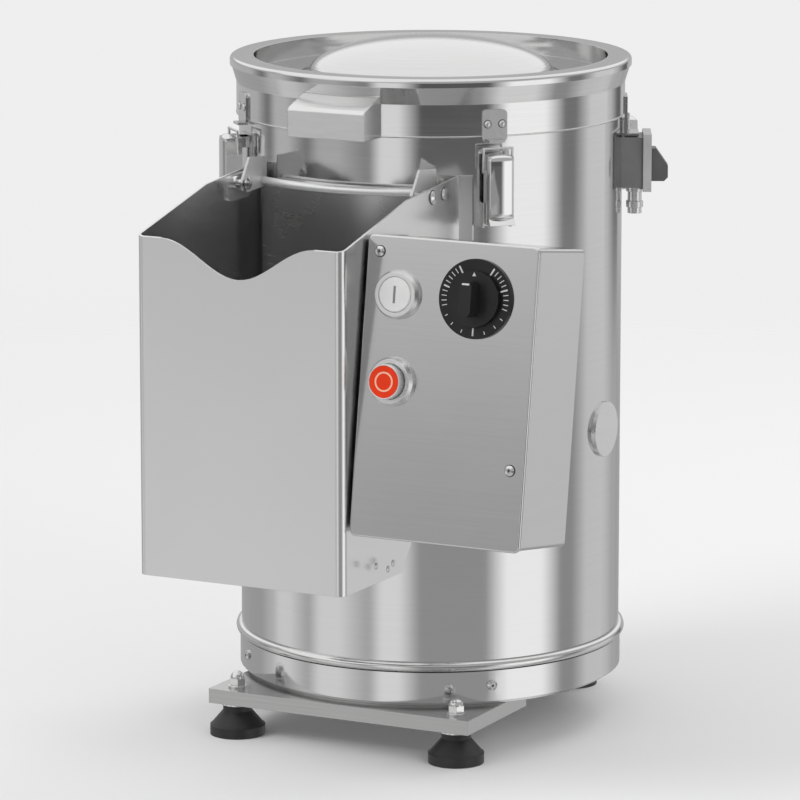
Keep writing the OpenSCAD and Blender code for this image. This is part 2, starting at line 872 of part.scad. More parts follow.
// Four bolts with spacers carry the box on the chute's right wall
module box_bolts() placed() color("gainsboro") on_panel() at_bolts() {
  translate([0, 0, -box_gap - chute_t]) cylinder(h = box_gap + chute_t + box_t, r = bolt_r);
  translate([0, 0, -box_gap]) cylinder(h = box_gap, r = spacer_r);
  translate([0, 0, -box_gap - chute_t]) mirror([0, 0, 1]) head(bolt_head_r, bolt_head_h);
  translate([0, 0, box_t]) cylinder(h = bolt_nut_h, r = bolt_head_r);
}

// Sleeve for the wires, from the back of the box into the motor room
module cable_conduit() placed() color("silver") difference() {
  union() {
    translate([conduit_x, 0, conduit_z]) rotate([90, 0, 0]) cylinder(h = box_front, r = conduit_r);
    on_panel() translate([conduit_in, conduit_down, box_d])
      cylinder(h = conduit_flange_t, r = conduit_flange_r);
  }
  conduit_hole();
  on_panel() translate([-over, -over, -box_h])
    cube([box_w + 2 * over, box_h + 2 * over, box_d + box_h]);
  core(drum_r);
}

// Plate with two ears, seated on the drum below a keeper
module latch_base() {
  low = pivot_z - lever_len - latch_down;
  difference() {
    union() {
      translate([drum_in, -latch_w / 2, low]) cube([latch_x - drum_in, latch_w, pivot_z + latch_up - low]);
      for (side = [0, 1]) mirror([0, side, 0]) {
        translate([drum_in, ear_half - ear_t, pivot_z - ear_r]) cube([pivot_x - drum_in, ear_t, 2 * ear_r]);
        translate([pivot_x, ear_half, pivot_z]) rotate([90, 0, 0]) cylinder(h = ear_t, r = ear_r);
        translate([pivot_x, lever_half, pivot_z]) rotate([90, 0, 0])
          cylinder(h = lever_half - ear_half + ear_t, r = pivot_r);
        translate([drum_in, lever_half + bail_gap, low])
          cube([latch_x - drum_in + guard_reach, guard_t, guard_h]);
      }
    }
    core(drum_r);
  }
}

module latch_bases() placed() color("gainsboro") for (a = latch_angles) outward(a) latch_base();

// A channel that opens towards the drum, with a lip at its lower end
module lever() {
  low = pivot_z - lever_len;
  difference() {
    union() {
      translate([lever_x - lever_depth, -lever_half, low])
        cube([lever_depth, lever_w, lever_len + lever_above]);
      translate([0, lever_half, 0]) rotate([90, 0, 0]) linear_extrude(lever_w) polygon([
        [lever_x - lever_t, low], [lever_x - lever_t, low + tip_h], [lever_x, low + tip_h],
        [lever_x + tip_out, low]
      ]);
    }
    translate([lever_x - lever_depth - over, -lever_in, low - over])
      cube([lever_depth + over - lever_t, 2 * lever_in, lever_len + lever_above + 2 * over]);
    translate([pivot_x, lever_w, pivot_z]) rotate([90, 0, 0])
      cylinder(h = 2 * lever_w, r = pivot_r + pivot_fit);
    translate([bail_x, lever_w, bail_z]) rotate([90, 0, 0])
      cylinder(h = 2 * lever_w, r = bail_r + pivot_fit);
  }
}

// A wire loop: two short pins in the lever's sides, two legs outside them and the bar across the top
module bail() {
  foot = [bail_x, bail_y, bail_z];
  top = [bail_x + bail_lean, bail_y, bail_z + bail_rise];
  for (side = [0, 1]) mirror([0, side, 0]) {
    bar([bail_x, bail_end, bail_z], foot, bail_r);
    translate(foot) sphere(bail_r);
    bar(foot, top, bail_r);
    translate(top) sphere(bail_r);
    bar([top[0], 0, top[2]], top, bail_r);
  }
}

module lever_front_right() placed() color("silver") outward(latch_angles[0]) lever();
module lever_front_left() placed() color("silver") outward(latch_angles[1]) lever();
module lever_rear_right() placed() color("silver") outward(latch_angles[2]) lever();
module lever_rear_left() placed() color("silver") outward(latch_angles[3]) lever();
module bail_front_right() placed() color("gainsboro") outward(latch_angles[0]) bail();
module bail_front_left() placed() color("gainsboro") outward(latch_angles[1]) bail();
module bail_rear_right() placed() color("gainsboro") outward(latch_angles[2]) bail();
module bail_rear_left() placed() color("gainsboro") outward(latch_angles[3]) bail();

module at_rivets() for (y = [rivet_in - lever_half, lever_half - rivet_in])
  translate([skirt_in, y, lid_z + rivet_up]) rotate([0, 90, 0]) children();

// Plate on the skirt with a lip for the bail, held by two rivets
module keeper() {
  low = lid_z - keeper_drop;
  difference() {
    union() {
      translate([drum_r, -lever_half, low]) rotate([90, 0, 90])
        linear_extrude(skirt_r + keeper_t - drum_r) round_rect(lever_w, keeper_h, keeper_round);
      translate([drum_r, keeper_round - lever_half, low])
        cube([skirt_r + keeper_t + lip_reach - drum_r, lever_w - 2 * keeper_round, lip_t]);
    }
    core(skirt_r);
  }
  at_rivets() {
    cylinder(h = lid_t + keeper_t, r = rivet_r);
    translate([0, 0, lid_t + keeper_t]) head(rivet_head_r, rivet_h);
  }
}

module latch_keepers() placed() color("gainsboro") for (a = latch_angles) outward(a) keeper();

// Quarter circle at the brim's outer edge
function rim_arc(r) = [for (i = [0:rim_steps]) let (a = 90 * i / rim_steps)
  [rim_r - rim_round + r * cos(a), lid_top - rim_round + r * sin(a)]];

function reversed(points) = [for (i = [len(points) - 1:-1:0]) points[i]];

module lid_ring() placed() color("silver") difference() {
  rotate_extrude() polygon(concat(
    [[skirt_in, lid_z], [skirt_r, lid_z], [skirt_r, skirt_top], [cone_r, cone_z], [rim_r, cone_z]],
    rim_arc(rim_round),
    [[brim_in, lid_top], [brim_in, lid_top - lid_t]],
    reversed(rim_arc(rim_round - lid_t)),
    [[rim_r - lid_t, cone_z + lid_t], [cone_r - lid_t, cone_z + lid_t], [skirt_in, skirt_top]]
  ));
  for (a = latch_angles) outward(a) at_rivets() translate([0, 0, -lid_gap])
    cylinder(h = lid_gap + lid_t + keeper_t, r = rivet_r);
}

// The dome is a quarter of an ellipse, turned about the axis
function dome_line(r, h) = [for (i = [1:dome_steps]) let (a = 90 * i / dome_steps)
  [r * cos(a), dish_z + h * sin(a)]];

module lid_dish() placed() color("silver") rotate_extrude() polygon(concat(
  [[brim_in, lid_top], [brim_in, dish_z], [dish_r, dish_z], [dish_r, dish_z - lid_t]],
  [[dome_r + dome_foot - lid_t, dish_z - lid_t]],
  dome_line(dome_r - lid_t, dome_h - lid_t),
  reversed(dome_line(dome_r, dome_h)),
  [[dome_r + dome_foot, dish_z], [brim_in - lid_t, dish_z], [brim_in - lid_t, lid_top]]
));

module lid_seal() placed() color("dimgray") translate([0, 0, drum_top + seal_gap])
  tube(drum_r, drum_r - seal_w, dish_z - lid_t - drum_top - seal_gap);

// The outside of the skirt and cone, as one solid
module skirt_core() rotate_extrude() polygon([
  [0, 0], [skirt_r, 0], [skirt_r, skirt_top], [cone_r, cone_z], [cone_r, lid_top], [0, lid_top]
]);

module grip_side(inset) polygon([
  [0, lid_z - over], [0, lid_z + grip_h + grip_slope - inset],
  [skirt_r, lid_z + grip_h + grip_slope - inset],
  [skirt_r + grip_reach - grip_nose - inset, lid_z + grip_h - inset],
  [skirt_r + grip_reach - inset, lid_z + grip_h - grip_nose - inset],
  [skirt_r + grip_reach - inset, lid_z - over]
]);

module lid_grip() placed() color("silver") outward(0) difference() {
  translate([0, grip_w / 2, 0]) rotate([90, 0, 0]) linear_extrude(grip_w) grip_side(0);
  translate([0, grip_w / 2 - grip_t, 0]) rotate([90, 0, 0]) linear_extrude(grip_w - 2 * grip_t)
    grip_side(grip_t);
  cylinder(h = lid_z, r = 2 * drum_r);
  skirt_core();
}

module switch_housing() placed() color("lightgray") outward(switch_angle) {
  difference() {
    translate([0, -switch_w / 2, switch_z]) cube([switch_x, switch_w, switch_h]);
    core(drum_r);
  }
  translate([switch_x - gland_in, 0, switch_z - gland_len]) cylinder(h = gland_len, r = gland_r);
}

module switch_cover() placed() color("lightgray") outward(switch_angle)
  translate([switch_x, -cover_w / 2, switch_z - cover_edge])
    cube([cover_t, cover_w, switch_h + 2 * cover_edge]);

module switch_wedge() placed() color("dimgray") outward(switch_angle)
  translate([switch_x + cover_t, wedge_w / 2, switch_z + wedge_up]) rotate([90, 0, 0])
    linear_extrude(wedge_w) polygon([
      [0, 0], [wedge_d - wedge_edge, 0], [wedge_d, wedge_edge], [wedge_d, wedge_side_h],
      [wedge_top_d, wedge_h], [0, wedge_h]
    ]);

// Angle piece on the skirt that tells the switch that the lid is shut
module switch_tongue() placed() color("gainsboro") outward(switch_angle) difference() {
  low = switch_z + switch_h + tongue_gap;
  union() {
    translate([drum_r, -tongue_w / 2, low])
      cube([skirt_r + tongue_t - drum_r, tongue_w, lid_z + tongue_up - low]);
    translate([drum_r, -tongue_w / 2, low])
      cube([skirt_r + tongue_reach - drum_r, tongue_w, tongue_t]);
  }
  core(skirt_r);
}

module bearing_housing() placed() color("gray") translate([0, 0, floor_z]) difference() {
  union() {
    translate([0, 0, -housing_h]) cylinder(h = housing_h, r = housing_r);
    translate([0, 0, -housing_flange_t]) cylinder(h = housing_flange_t, r = housing_flange_r);
  }
  translate([0, 0, -housing_h - over]) cylinder(h = housing_h - housing_flange_t + over, r = bearing_r);
  translate([0, 0, -housing_h]) cylinder(h = housing_h + over, r = seal_r);
}

module bearings() placed() color("lightgray")
  for (z = [floor_z - housing_h, floor_z - housing_flange_t - bearing_w])
    translate([0, 0, z]) tube(bearing_r, spindle_r + run_fit, bearing_w);

module shaft_seal() placed() color("dimgray") translate([0, 0, floor_z - housing_flange_t])
  tube(seal_r, spindle_r + run_fit, housing_flange_t + floor_t);

// The motor and its gearbox are one sealed unit with a hollow output shaft
module gear_motor() placed() color("slategray") translate([0, 0, plate_z]) difference() {
  union() {
    translate([0, 0, -gearbox_h]) cylinder(h = gearbox_h, r = gearbox_r);
    translate([0, 0, -gearbox_h - motor_h]) cylinder(h = motor_h, r = motor_r);
    for (i = [1:motor_ribs])
      translate([0, 0, -gearbox_h - motor_h * i / (motor_ribs + 1) - motor_rib_t / 2])
        cylinder(h = motor_rib_t, r = motor_r + motor_rib_out);
  }
  translate([0, 0, -spindle_in - over]) cylinder(h = spindle_in + 2 * over, r = spindle_r + run_fit);
}

// Plate that carries the motor, with its four pillars
module motor_plate() placed() color("gray") translate([0, 0, plate_z]) {
  tube(plate_r, plate_hole_r, plate_t);
  for (a = screw_angles) rotate([0, 0, a]) translate([pillar_at, 0, plate_t])
    cylinder(h = plate_drop, r = pillar_r);
}

module spindle() placed() color("silver") translate([0, 0, plate_z - spindle_in])
  cylinder(h = disc_z + disc_t - disc_skin - plate_z + spindle_in, r = spindle_r);

module abrasive_disc() placed() color("dimgray") difference() {
  union() {
    translate([0, 0, disc_z]) cylinder(h = disc_t, r = disc_r);
    translate([0, 0, disc_z - hub_drop]) cylinder(h = hub_drop, r = hub_r);
    intersection() {
      for (i = [1:ridges]) rotate([0, 0, 360 * i / ridges])
        translate([ridge_start, 0, disc_z + disc_t + ridge_h - ridge_r]) rotate([0, 90, 0])
          cylinder(h = ridge_len, r = ridge_r);
      translate([0, 0, disc_z]) cylinder(h = disc_t + ridge_h + over, r = disc_r);
    }
  }
  translate([0, 0, disc_z - hub_drop - over])
    cylinder(h = hub_drop + over + disc_t - disc_skin, r = spindle_r);
}

module drain_line(r, run, reach) translate([0, drain_y, drain_z]) {
  sphere(r);
  cylinder(h = drain_drop + reach, r = r);
  rotate([-90, 0, 0]) cylinder(h = run + reach, r = r);
}

module drain_elbow() placed() color("gray") difference() {
  union() {
    drain_line(drain_r, drum_r - drain_y, 0);
    at_wall(inlet_angle, drain_z) {
      wall_fitting(drain_r, 0, drain_flange_r, drain_flange_t);
      translate([0, 0, drum_r]) cylinder(h = drain_end - drum_r, r = drain_hose_r);
    }
  }
  drain_line(drain_r - drain_t, drain_end - drain_y, over);
}

module water_inlet() placed() color("gainsboro") at_wall(inlet_angle, inlet_z) difference() {
  union() {
    wall_fitting(inlet_neck_r, lining_t, inlet_flange_r, inlet_flange_t);
    translate([0, 0, drum_r]) cylinder(h = inlet_len, r = inlet_r);
  }
  wall_hole(inlet_bore_r);
  translate([0, 0, drum_r]) cylinder(h = inlet_len + over, r = inlet_bore_r);
}

module cable_gland() placed() color("dimgray") at_wall(lead_angle, lead_z) difference() {
  union() {
    wall_fitting(lead_neck_r, lead_tail, lead_flange_r, lead_flange_t);
    translate([0, 0, drum_r]) cylinder(h = lead_len, r = lead_r);
  }
  cylinder(h = drum_r + lead_flange_t, r = lead_mouth_r);
  translate([0, 0, drum_r]) cylinder(h = lead_len + over, r = lead_bore_r);
}

front_rail();
rear_rail();
foot_pads();
foot_studs();
foot_nuts();
base_plate();
collar_band();
collar_screws();
drum_shell();
chamber_floor();
wall_lining();
side_plug();
discharge_port();
port_seal();
door_magnets();
chute();
hinge_plates();
hinge_pins();
chute_rivets();
control_box();
control_panel();
panel_screws();
button_bezels();
contact_blocks();
dial_plate();
timer_body();
box_bolts();
cable_conduit();
latch_bases();
switch_housing();
switch_cover();
switch_wedge();
bearing_housing();
bearings();
shaft_seal();
gear_motor();
motor_plate();
drain_elbow();
water_inlet();
cable_gland();
lid_ring();
lid_dish();
lid_seal();
lid_grip();
latch_keepers();
switch_tongue();
lever_front_right();
lever_front_left();
lever_rear_right();
lever_rear_left();
bail_front_right();
bail_front_left();
bail_rear_right();
bail_rear_left();
discharge_door();
start_cap();
stop_cap();
timer_knob();
spindle();
abrasive_disc();
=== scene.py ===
import math

import bmesh
import bpy
import numpy as np
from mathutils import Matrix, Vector


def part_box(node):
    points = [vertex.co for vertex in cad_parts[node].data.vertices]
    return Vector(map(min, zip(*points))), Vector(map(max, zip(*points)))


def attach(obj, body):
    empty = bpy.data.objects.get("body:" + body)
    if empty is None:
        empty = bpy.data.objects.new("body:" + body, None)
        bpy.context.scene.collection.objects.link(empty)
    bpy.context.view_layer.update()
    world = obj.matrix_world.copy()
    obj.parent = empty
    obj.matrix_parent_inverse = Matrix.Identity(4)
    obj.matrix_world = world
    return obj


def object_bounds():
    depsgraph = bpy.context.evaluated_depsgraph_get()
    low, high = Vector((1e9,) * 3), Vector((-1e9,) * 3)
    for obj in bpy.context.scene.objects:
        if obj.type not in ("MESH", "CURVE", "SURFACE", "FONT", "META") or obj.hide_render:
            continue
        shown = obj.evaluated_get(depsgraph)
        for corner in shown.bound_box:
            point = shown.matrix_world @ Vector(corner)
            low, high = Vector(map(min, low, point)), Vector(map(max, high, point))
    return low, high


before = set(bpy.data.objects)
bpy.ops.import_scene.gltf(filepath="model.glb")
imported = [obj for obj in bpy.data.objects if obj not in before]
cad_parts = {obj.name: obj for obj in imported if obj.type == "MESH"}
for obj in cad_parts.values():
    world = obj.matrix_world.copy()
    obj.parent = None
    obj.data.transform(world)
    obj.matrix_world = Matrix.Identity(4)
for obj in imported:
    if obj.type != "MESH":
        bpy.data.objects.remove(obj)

cadBox = [list(corner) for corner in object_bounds()]
print("frame loaded:", len(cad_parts), "nodes")

# The drum's axis is the middle of its shell
drumLow, drumHigh = (np.array(corner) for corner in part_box("drum_shell"))
drum = {"axis": (drumLow + drumHigh)[:2] / 2, "radius": (drumHigh[0] - drumLow[0]) / 2,
        "foot": drumLow[2]}

# The latches and the collar's screws, in degrees from the front towards the control box
corners = {"front_right": 45, "front_left": -45, "rear_right": 135, "rear_left": -135}

# Camera, fitted to the drum's circles in the photograph
shot = {"lens": 232.4, "sensor": 36.0, "place": (1.4684, -2.9369, 0.8593),
        "target": (-0.04643, 0.04193, 0.2074), "near": 0.05, "far": 60.0}
camera = bpy.data.objects.new("camera", bpy.data.cameras.new("camera"))
camera.data.lens, camera.data.sensor_width = shot["lens"], shot["sensor"]
camera.location = shot["place"]
camera.rotation_mode = "QUATERNION"
ahead = Vector(shot["target"]) - Vector(shot["place"])
camera.rotation_quaternion = ahead.to_track_quat("-Z", "Y")
camera.data.clip_start, camera.data.clip_end = shot["near"], shot["far"]
bpy.context.collection.objects.link(camera)
bpy.context.scene.camera = camera
bpy.context.scene.view_settings.view_transform = "Standard"
print("camera ready")


# A shader node of a kind, with its properties set by name and its inputs by place or label
def addNode(tree, kind, **values):
    node = tree.nodes.new("ShaderNode" + kind)
    inputs = values.pop("inputs", {})
    for name, value in values.items():
        setattr(node, name, value)
    for place, value in inputs.items():
        node.inputs[place].default_value = value
    return node


# One sum, where each side is a number or another node's output
def nodeSum(tree, operation, a, b=None):
    node = addNode(tree, "Math", operation=operation)
    for place, value in enumerate((a, b)):
        if isinstance(value, (int, float)):
            node.inputs[place].default_value = value
        elif value is not None:
            tree.links.new(value, node.inputs[place])
    return node.outputs[0]


# A node group that takes inputs, as (label, kind, value), and gives outputs, as (label, kind)
def newGroup(name, takes, gives):
    group = bpy.data.node_groups.new(name, "ShaderNodeTree")
    for label, kind, value in takes:
        socket = group.interface.new_socket(name=label, in_out="INPUT",
                                            socket_type="NodeSocket" + kind)
        if value is not None:
            socket.default_value = value
    for label, kind in gives:
        group.interface.new_socket(name=label, in_out="OUTPUT", socket_type="NodeSocket" + kind)
    return group, group.nodes.new("NodeGroupInput"), group.nodes.new("NodeGroupOutput")


# A ramp of grey tones, as (place, tone) pairs
def greyRamp(tree, source, stops):
    node = addNode(tree, "ValToRGB")
    elements = node.color_ramp.elements
    while len(elements) > 1:
        elements.remove(elements[-1])
    elements[0].position, elements[0].color = stops[0][0], (stops[0][1],) * 3 + (1,)
    for place, tone in stops[1:]:
        elements.new(place).color = (tone, tone, tone, 1)
    tree.links.new(source, node.inputs[0])
    return node.outputs[0]


# Round the drum: the length of arc from the right, the distance from the axis, and the height
wrapGroup, wrapIn, wrapOut = newGroup("roundTheDrum", [("Vector", "Vector", None)],
                                      [("Vector", "Vector")])
shifted = addNode(wrapGroup, "VectorMath", operation="SUBTRACT", inputs={1: (*drum["axis"], 0)})
flat = addNode(wrapGroup, "VectorMath", operation="MULTIPLY", inputs={1: (1, 1, 0)})
distance = addNode(wrapGroup, "VectorMath", operation="LENGTH")
parts = addNode(wrapGroup, "SeparateXYZ")
wrapGroup.links.new(wrapIn.outputs[0], shifted.inputs[0])
wrapGroup.links.new(shifted.outputs[0], flat.inputs[0])
wrapGroup.links.new(flat.outputs[0], distance.inputs[0])
wrapGroup.links.new(shifted.outputs[0], parts.inputs[0])
joined = addNode(wrapGroup, "CombineXYZ")
turned = nodeSum(wrapGroup, "ARCTAN2", parts.outputs[0], parts.outputs[1])
arcLength = nodeSum(wrapGroup, "MULTIPLY", turned, float(drum["radius"]))
wrapGroup.links.new(arcLength, joined.inputs[0])
wrapGroup.links.new(distance.outputs["Value"], joined.inputs[1])
wrapGroup.links.new(parts.outputs[2], joined.inputs[2])
wrapGroup.links.new(joined.outputs[0], wrapOut.inputs[0])

# Rolling grain: noise drawn out along the sheet, coarse and fine, with soft smudges over it
rolled = {"coarse": {"Scale": 1.0, "Detail": 3.0, "Roughness": 0.6}, "coarseShare": 0.6,
          "fine": {"Scale": 3.7, "Detail": 2.0, "Roughness": 0.5}, "fineShare": 0.4,
          "cloud": {"Detail": 4.0, "Roughness": 0.55, "Distortion": 0.4},
          "smudges": [(0.38, 0.0), (0.66, 1.0)], "smudgeScale": 14.0}
grainGroup, grainIn, grainOut = newGroup(
    "sheetGrain",
    [("Vector", "Vector", None), ("Stretch", "Vector", (1, 1, 1)), ("Plain", "Vector", None),
     ("Smudge scale", "Float", rolled["smudgeScale"])],
    [("Grain", "Float"), ("Smudge", "Float"), ("Height", "Float")])
drawn = addNode(grainGroup, "VectorMath", operation="MULTIPLY")
grainGroup.links.new(grainIn.outputs["Vector"], drawn.inputs[0])
grainGroup.links.new(grainIn.outputs["Stretch"], drawn.inputs[1])
coarse = addNode(grainGroup, "TexNoise", inputs=rolled["coarse"])
fine = addNode(grainGroup, "TexNoise", inputs=rolled["fine"])
cloud = addNode(grainGroup, "TexNoise", inputs=rolled["cloud"])
grainGroup.links.new(drawn.outputs[0], coarse.inputs["Vector"])
grainGroup.links.new(drawn.outputs[0], fine.inputs["Vector"])
grainGroup.links.new(grainIn.outputs["Plain"], cloud.inputs["Vector"])
grainGroup.links.new(grainIn.outputs["Smudge scale"], cloud.inputs["Scale"])
both = nodeSum(grainGroup, "ADD",
               nodeSum(grainGroup, "MULTIPLY", coarse.outputs[0], rolled["coarseShare"]),
               nodeSum(grainGroup, "MULTIPLY", fine.outputs[0], rolled["fineShare"]))
grainGroup.links.new(both, grainOut.inputs["Grain"])
grainGroup.links.new(both, grainOut.inputs["Height"])
grainGroup.links.new(greyRamp(grainGroup, cloud.outputs[0], rolled["smudges"]),
                     grainOut.inputs["Smudge"])

# Moulded skin: fine pits with a slow unevenness below them
mouldSkin = {"pitScale": 1500.0, "pits": {"Detail": 2.0}, "pitShare": 0.35,
             "uneven": {"Scale": 45.0, "Detail": 3.0}}
skinGroup, skinIn, skinOut = newGroup(
    "mouldedSkin", [("Vector", "Vector", None), ("Pit scale", "Float", mouldSkin["pitScale"])],
    [("Tone", "Float"), ("Height", "Float")])
pits = addNode(skinGroup, "TexNoise", inputs=mouldSkin["pits"])
uneven = addNode(skinGroup, "TexNoise", inputs=mouldSkin["uneven"])
skinGroup.links.new(skinIn.outputs["Vector"], pits.inputs["Vector"])
skinGroup.links.new(skinIn.outputs["Pit scale"], pits.inputs["Scale"])
skinGroup.links.new(skinIn.outputs["Vector"], uneven.inputs["Vector"])
skinGroup.links.new(uneven.outputs[0], skinOut.inputs["Tone"])
pitted = nodeSum(skinGroup, "ADD",
                 nodeSum(skinGroup, "MULTIPLY", pits.outputs[0], mouldSkin["pitShare"]),
                 uneven.outputs[0])
skinGroup.links.new(pitted, skinOut.inputs["Height"])

# Grit: hard grains in a binder
coarseGrit = {"grainScale": 520.0, "grainShare": 0.7, "dust": {"Scale": 90.0, "Detail": 5.0},
              "dustShare": 0.5}
gritGroup, gritIn, gritOut = newGroup(
    "gritCoat", [("Vector", "Vector", None), ("Grain scale", "Float", coarseGrit["grainScale"])],
    [("Tone", "Float"), ("Height", "Float")])
cells = addNode(gritGroup, "TexVoronoi")
dust = addNode(gritGroup, "TexNoise", inputs=coarseGrit["dust"])
gritGroup.links.new(gritIn.outputs["Vector"], cells.inputs["Vector"])
gritGroup.links.new(gritIn.outputs["Grain scale"], cells.inputs["Scale"])
gritGroup.links.new(gritIn.outputs["Vector"], dust.inputs["Vector"])
dusty = nodeSum(
    gritGroup, "ADD",
    nodeSum(gritGroup, "MULTIPLY", cells.outputs["Distance"], coarseGrit["grainShare"]),
    nodeSum(gritGroup, "MULTIPLY", dust.outputs[0], coarseGrit["dustShare"]))
gritGroup.links.new(dusty, gritOut.inputs["Tone"])
gritGroup.links.new(cells.outputs["Distance"], gritOut.inputs["Height"])
print("node groups ready")


# A new material with its constant values on the shader's own sockets
def startMaterial(name, roughness, metallic=0.0, specular=0.5):
    material = bpy.data.materials.new(name)
    material.use_nodes = True
    tree = material.node_tree
    shader = tree.nodes["Principled BSDF"]
    shader.inputs["Metallic"].default_value = metallic
    shader.inputs["Roughness"].default_value = roughness
    shader.inputs["Specular IOR Level"].default_value = specular
    return material, tree, shader


# A colour between two, where a changing value says how far
def mixColours(tree, factor, low, high):
    node = addNode(tree, "Mix", data_type="RGBA")
    node.inputs["A"].default_value, node.inputs["B"].default_value = (*low, 1), (*high, 1)
    tree.links.new(factor, node.inputs["Factor"])
    return node.outputs["Result"]


sheet = {"from": 0.35, "to": 0.65, "blueShare": 0.8, "smudgeScale": 14.0, "smudgeRough": 0.02,
         "reliefDepth": 0.0002, "bevelSamples": 4}


# Rolled or brushed stainless sheet. Grain moves the tone and the roughness, and smudges dull it.
# The edge value is the radius, in metres, at which folded and cut edges catch the light. A
# blasted or worn surface scatters some of its light evenly, so its metallic value is below one.
def steel(name, tone, rough, stretch, bump, contrast=0.02, spread=0.02, wrapped=False,
          edge=0.0004, metallic=1.0):
    material, tree, shader = startMaterial(name, rough, metallic=metallic)
    place = addNode(tree, "TexCoord").outputs["Object"]
    along = place
    if wrapped:
        wrap = addNode(tree, "Group", node_tree=wrapGroup)
        tree.links.new(place, wrap.inputs[0])
        along = wrap.outputs[0]
    grain = addNode(tree, "Group", node_tree=grainGroup)
    grain.inputs["Stretch"].default_value = stretch
    grain.inputs["Smudge scale"].default_value = sheet["smudgeScale"]
    tree.links.new(along, grain.inputs["Vector"])
    tree.links.new(place, grain.inputs["Plain"])
    level = addNode(tree, "MapRange", inputs={1: sheet["from"], 2: sheet["to"]})
    tree.links.new(grain.outputs["Grain"], level.inputs[0])
    low = (tone - contrast,) * 3
    high = (tone + contrast, tone + contrast, tone + contrast * sheet["blueShare"])
    tree.links.new(mixColours(tree, level.outputs[0], low, high), shader.inputs["Base Color"])
    dulled = nodeSum(tree, "MULTIPLY", grain.outputs["Smudge"], sheet["smudgeRough"])
    scattered = nodeSum(tree, "MULTIPLY", level.outputs[0], spread)
    tree.links.new(nodeSum(tree, "ADD", nodeSum(tree, "ADD", dulled, scattered), rough),
                   shader.inputs["Roughness"])
    relief = addNode(tree, "Bump", inputs={"Strength": bump, "Distance": sheet["reliefDepth"]})
    rounded = addNode(tree, "Bevel", samples=sheet["bevelSamples"], inputs={0: edge})
    tree.links.new(rounded.outputs[0], relief.inputs["Normal"])
    tree.links.new(grain.outputs["Height"], relief.inputs["Height"])
    tree.links.new(relief.outputs[0], shader.inputs["Normal"])
    return material


coat = {"from": 0.3, "to": 0.7, "spread": 0.08, "reliefDepth": 0.0003}


# Rubber, plastic, print or a coat: uneven tone and a fine relief
def moulded(name, low, high, rough, bump, pitScale=mouldSkin["pitScale"], group=skinGroup, **fixed):
    material, tree, shader = startMaterial(name, rough, **fixed)
    place = addNode(tree, "TexCoord").outputs["Object"]
    skin = addNode(tree, "Group", node_tree=group)
    skin.inputs[1].default_value = pitScale
    tree.links.new(place, skin.inputs[0])
    level = addNode(tree, "MapRange", inputs={1: coat["from"], 2: coat["to"]})
    tree.links.new(skin.outputs["Tone"], level.inputs[0])
    tree.links.new(mixColours(tree, level.outputs[0], low, high), shader.inputs["Base Color"])
    scattered = nodeSum(tree, "MULTIPLY", level.outputs[0], coat["spread"])
    tree.links.new(nodeSum(tree, "ADD", scattered, rough), shader.inputs["Roughness"])
    relief = addNode(tree, "Bump", inputs={"Strength": bump, "Distance": coat["reliefDepth"]})
    tree.links.new(skin.outputs["Height"], relief.inputs["Height"])
    tree.links.new(relief.outputs[0], shader.inputs["Normal"])
    return material


# Steels. The grain is drawn out along the direction in which its stretch is least.
steels = {
    "drumSteel": dict(tone=0.72, rough=0.085, stretch=(7, 7, 700), bump=0.002, contrast=0.012,
                      wrapped=True),
    "lidSteel": dict(tone=0.74, rough=0.07, stretch=(9, 500, 500), bump=0.003, wrapped=True),
    "chuteSteel": dict(tone=0.81, rough=0.23, stretch=(900, 900, 9), bump=0.006, contrast=0.01),
    "panelSteel": dict(tone=0.67, rough=0.12, stretch=(9, 9, 900), bump=0.008, contrast=0.01),
    "gripSteel": dict(tone=0.77, rough=0.15, stretch=(9, 500, 500), bump=0.004, wrapped=True,
                      edge=0.0012, metallic=0.8),
    "satinSteel": dict(tone=0.75, rough=0.25, stretch=(90, 90, 90), bump=0.006, contrast=0.015,
                       edge=0.0005, metallic=0.8),
    "flapSteel": dict(tone=0.62, rough=0.26, stretch=(9, 300, 300), bump=0.001, contrast=0.006,
                      spread=0.01, wrapped=True),
    "leverSteel": dict(tone=0.78, rough=0.07, stretch=(200, 200, 9), bump=0.002, contrast=0.01,
                       spread=0.01, edge=0.0003),
    "rollSteel": dict(tone=0.88, rough=0.42, stretch=(90, 90, 90), bump=0.004, contrast=0.01,
                      metallic=0.7),
    "railSteel": dict(tone=0.52, rough=0.20, stretch=(9, 800, 800), bump=0.03, contrast=0.03,
                      spread=0.04),
    "brightSteel": dict(tone=0.74, rough=0.10, stretch=(300, 300, 300), bump=0.01, contrast=0.03,
                        spread=0.03, edge=0.0003),
    "dullSteel": dict(tone=0.47, rough=0.34, stretch=(120, 120, 120), bump=0.05, contrast=0.05,
                      spread=0.08, edge=0.0003),
}

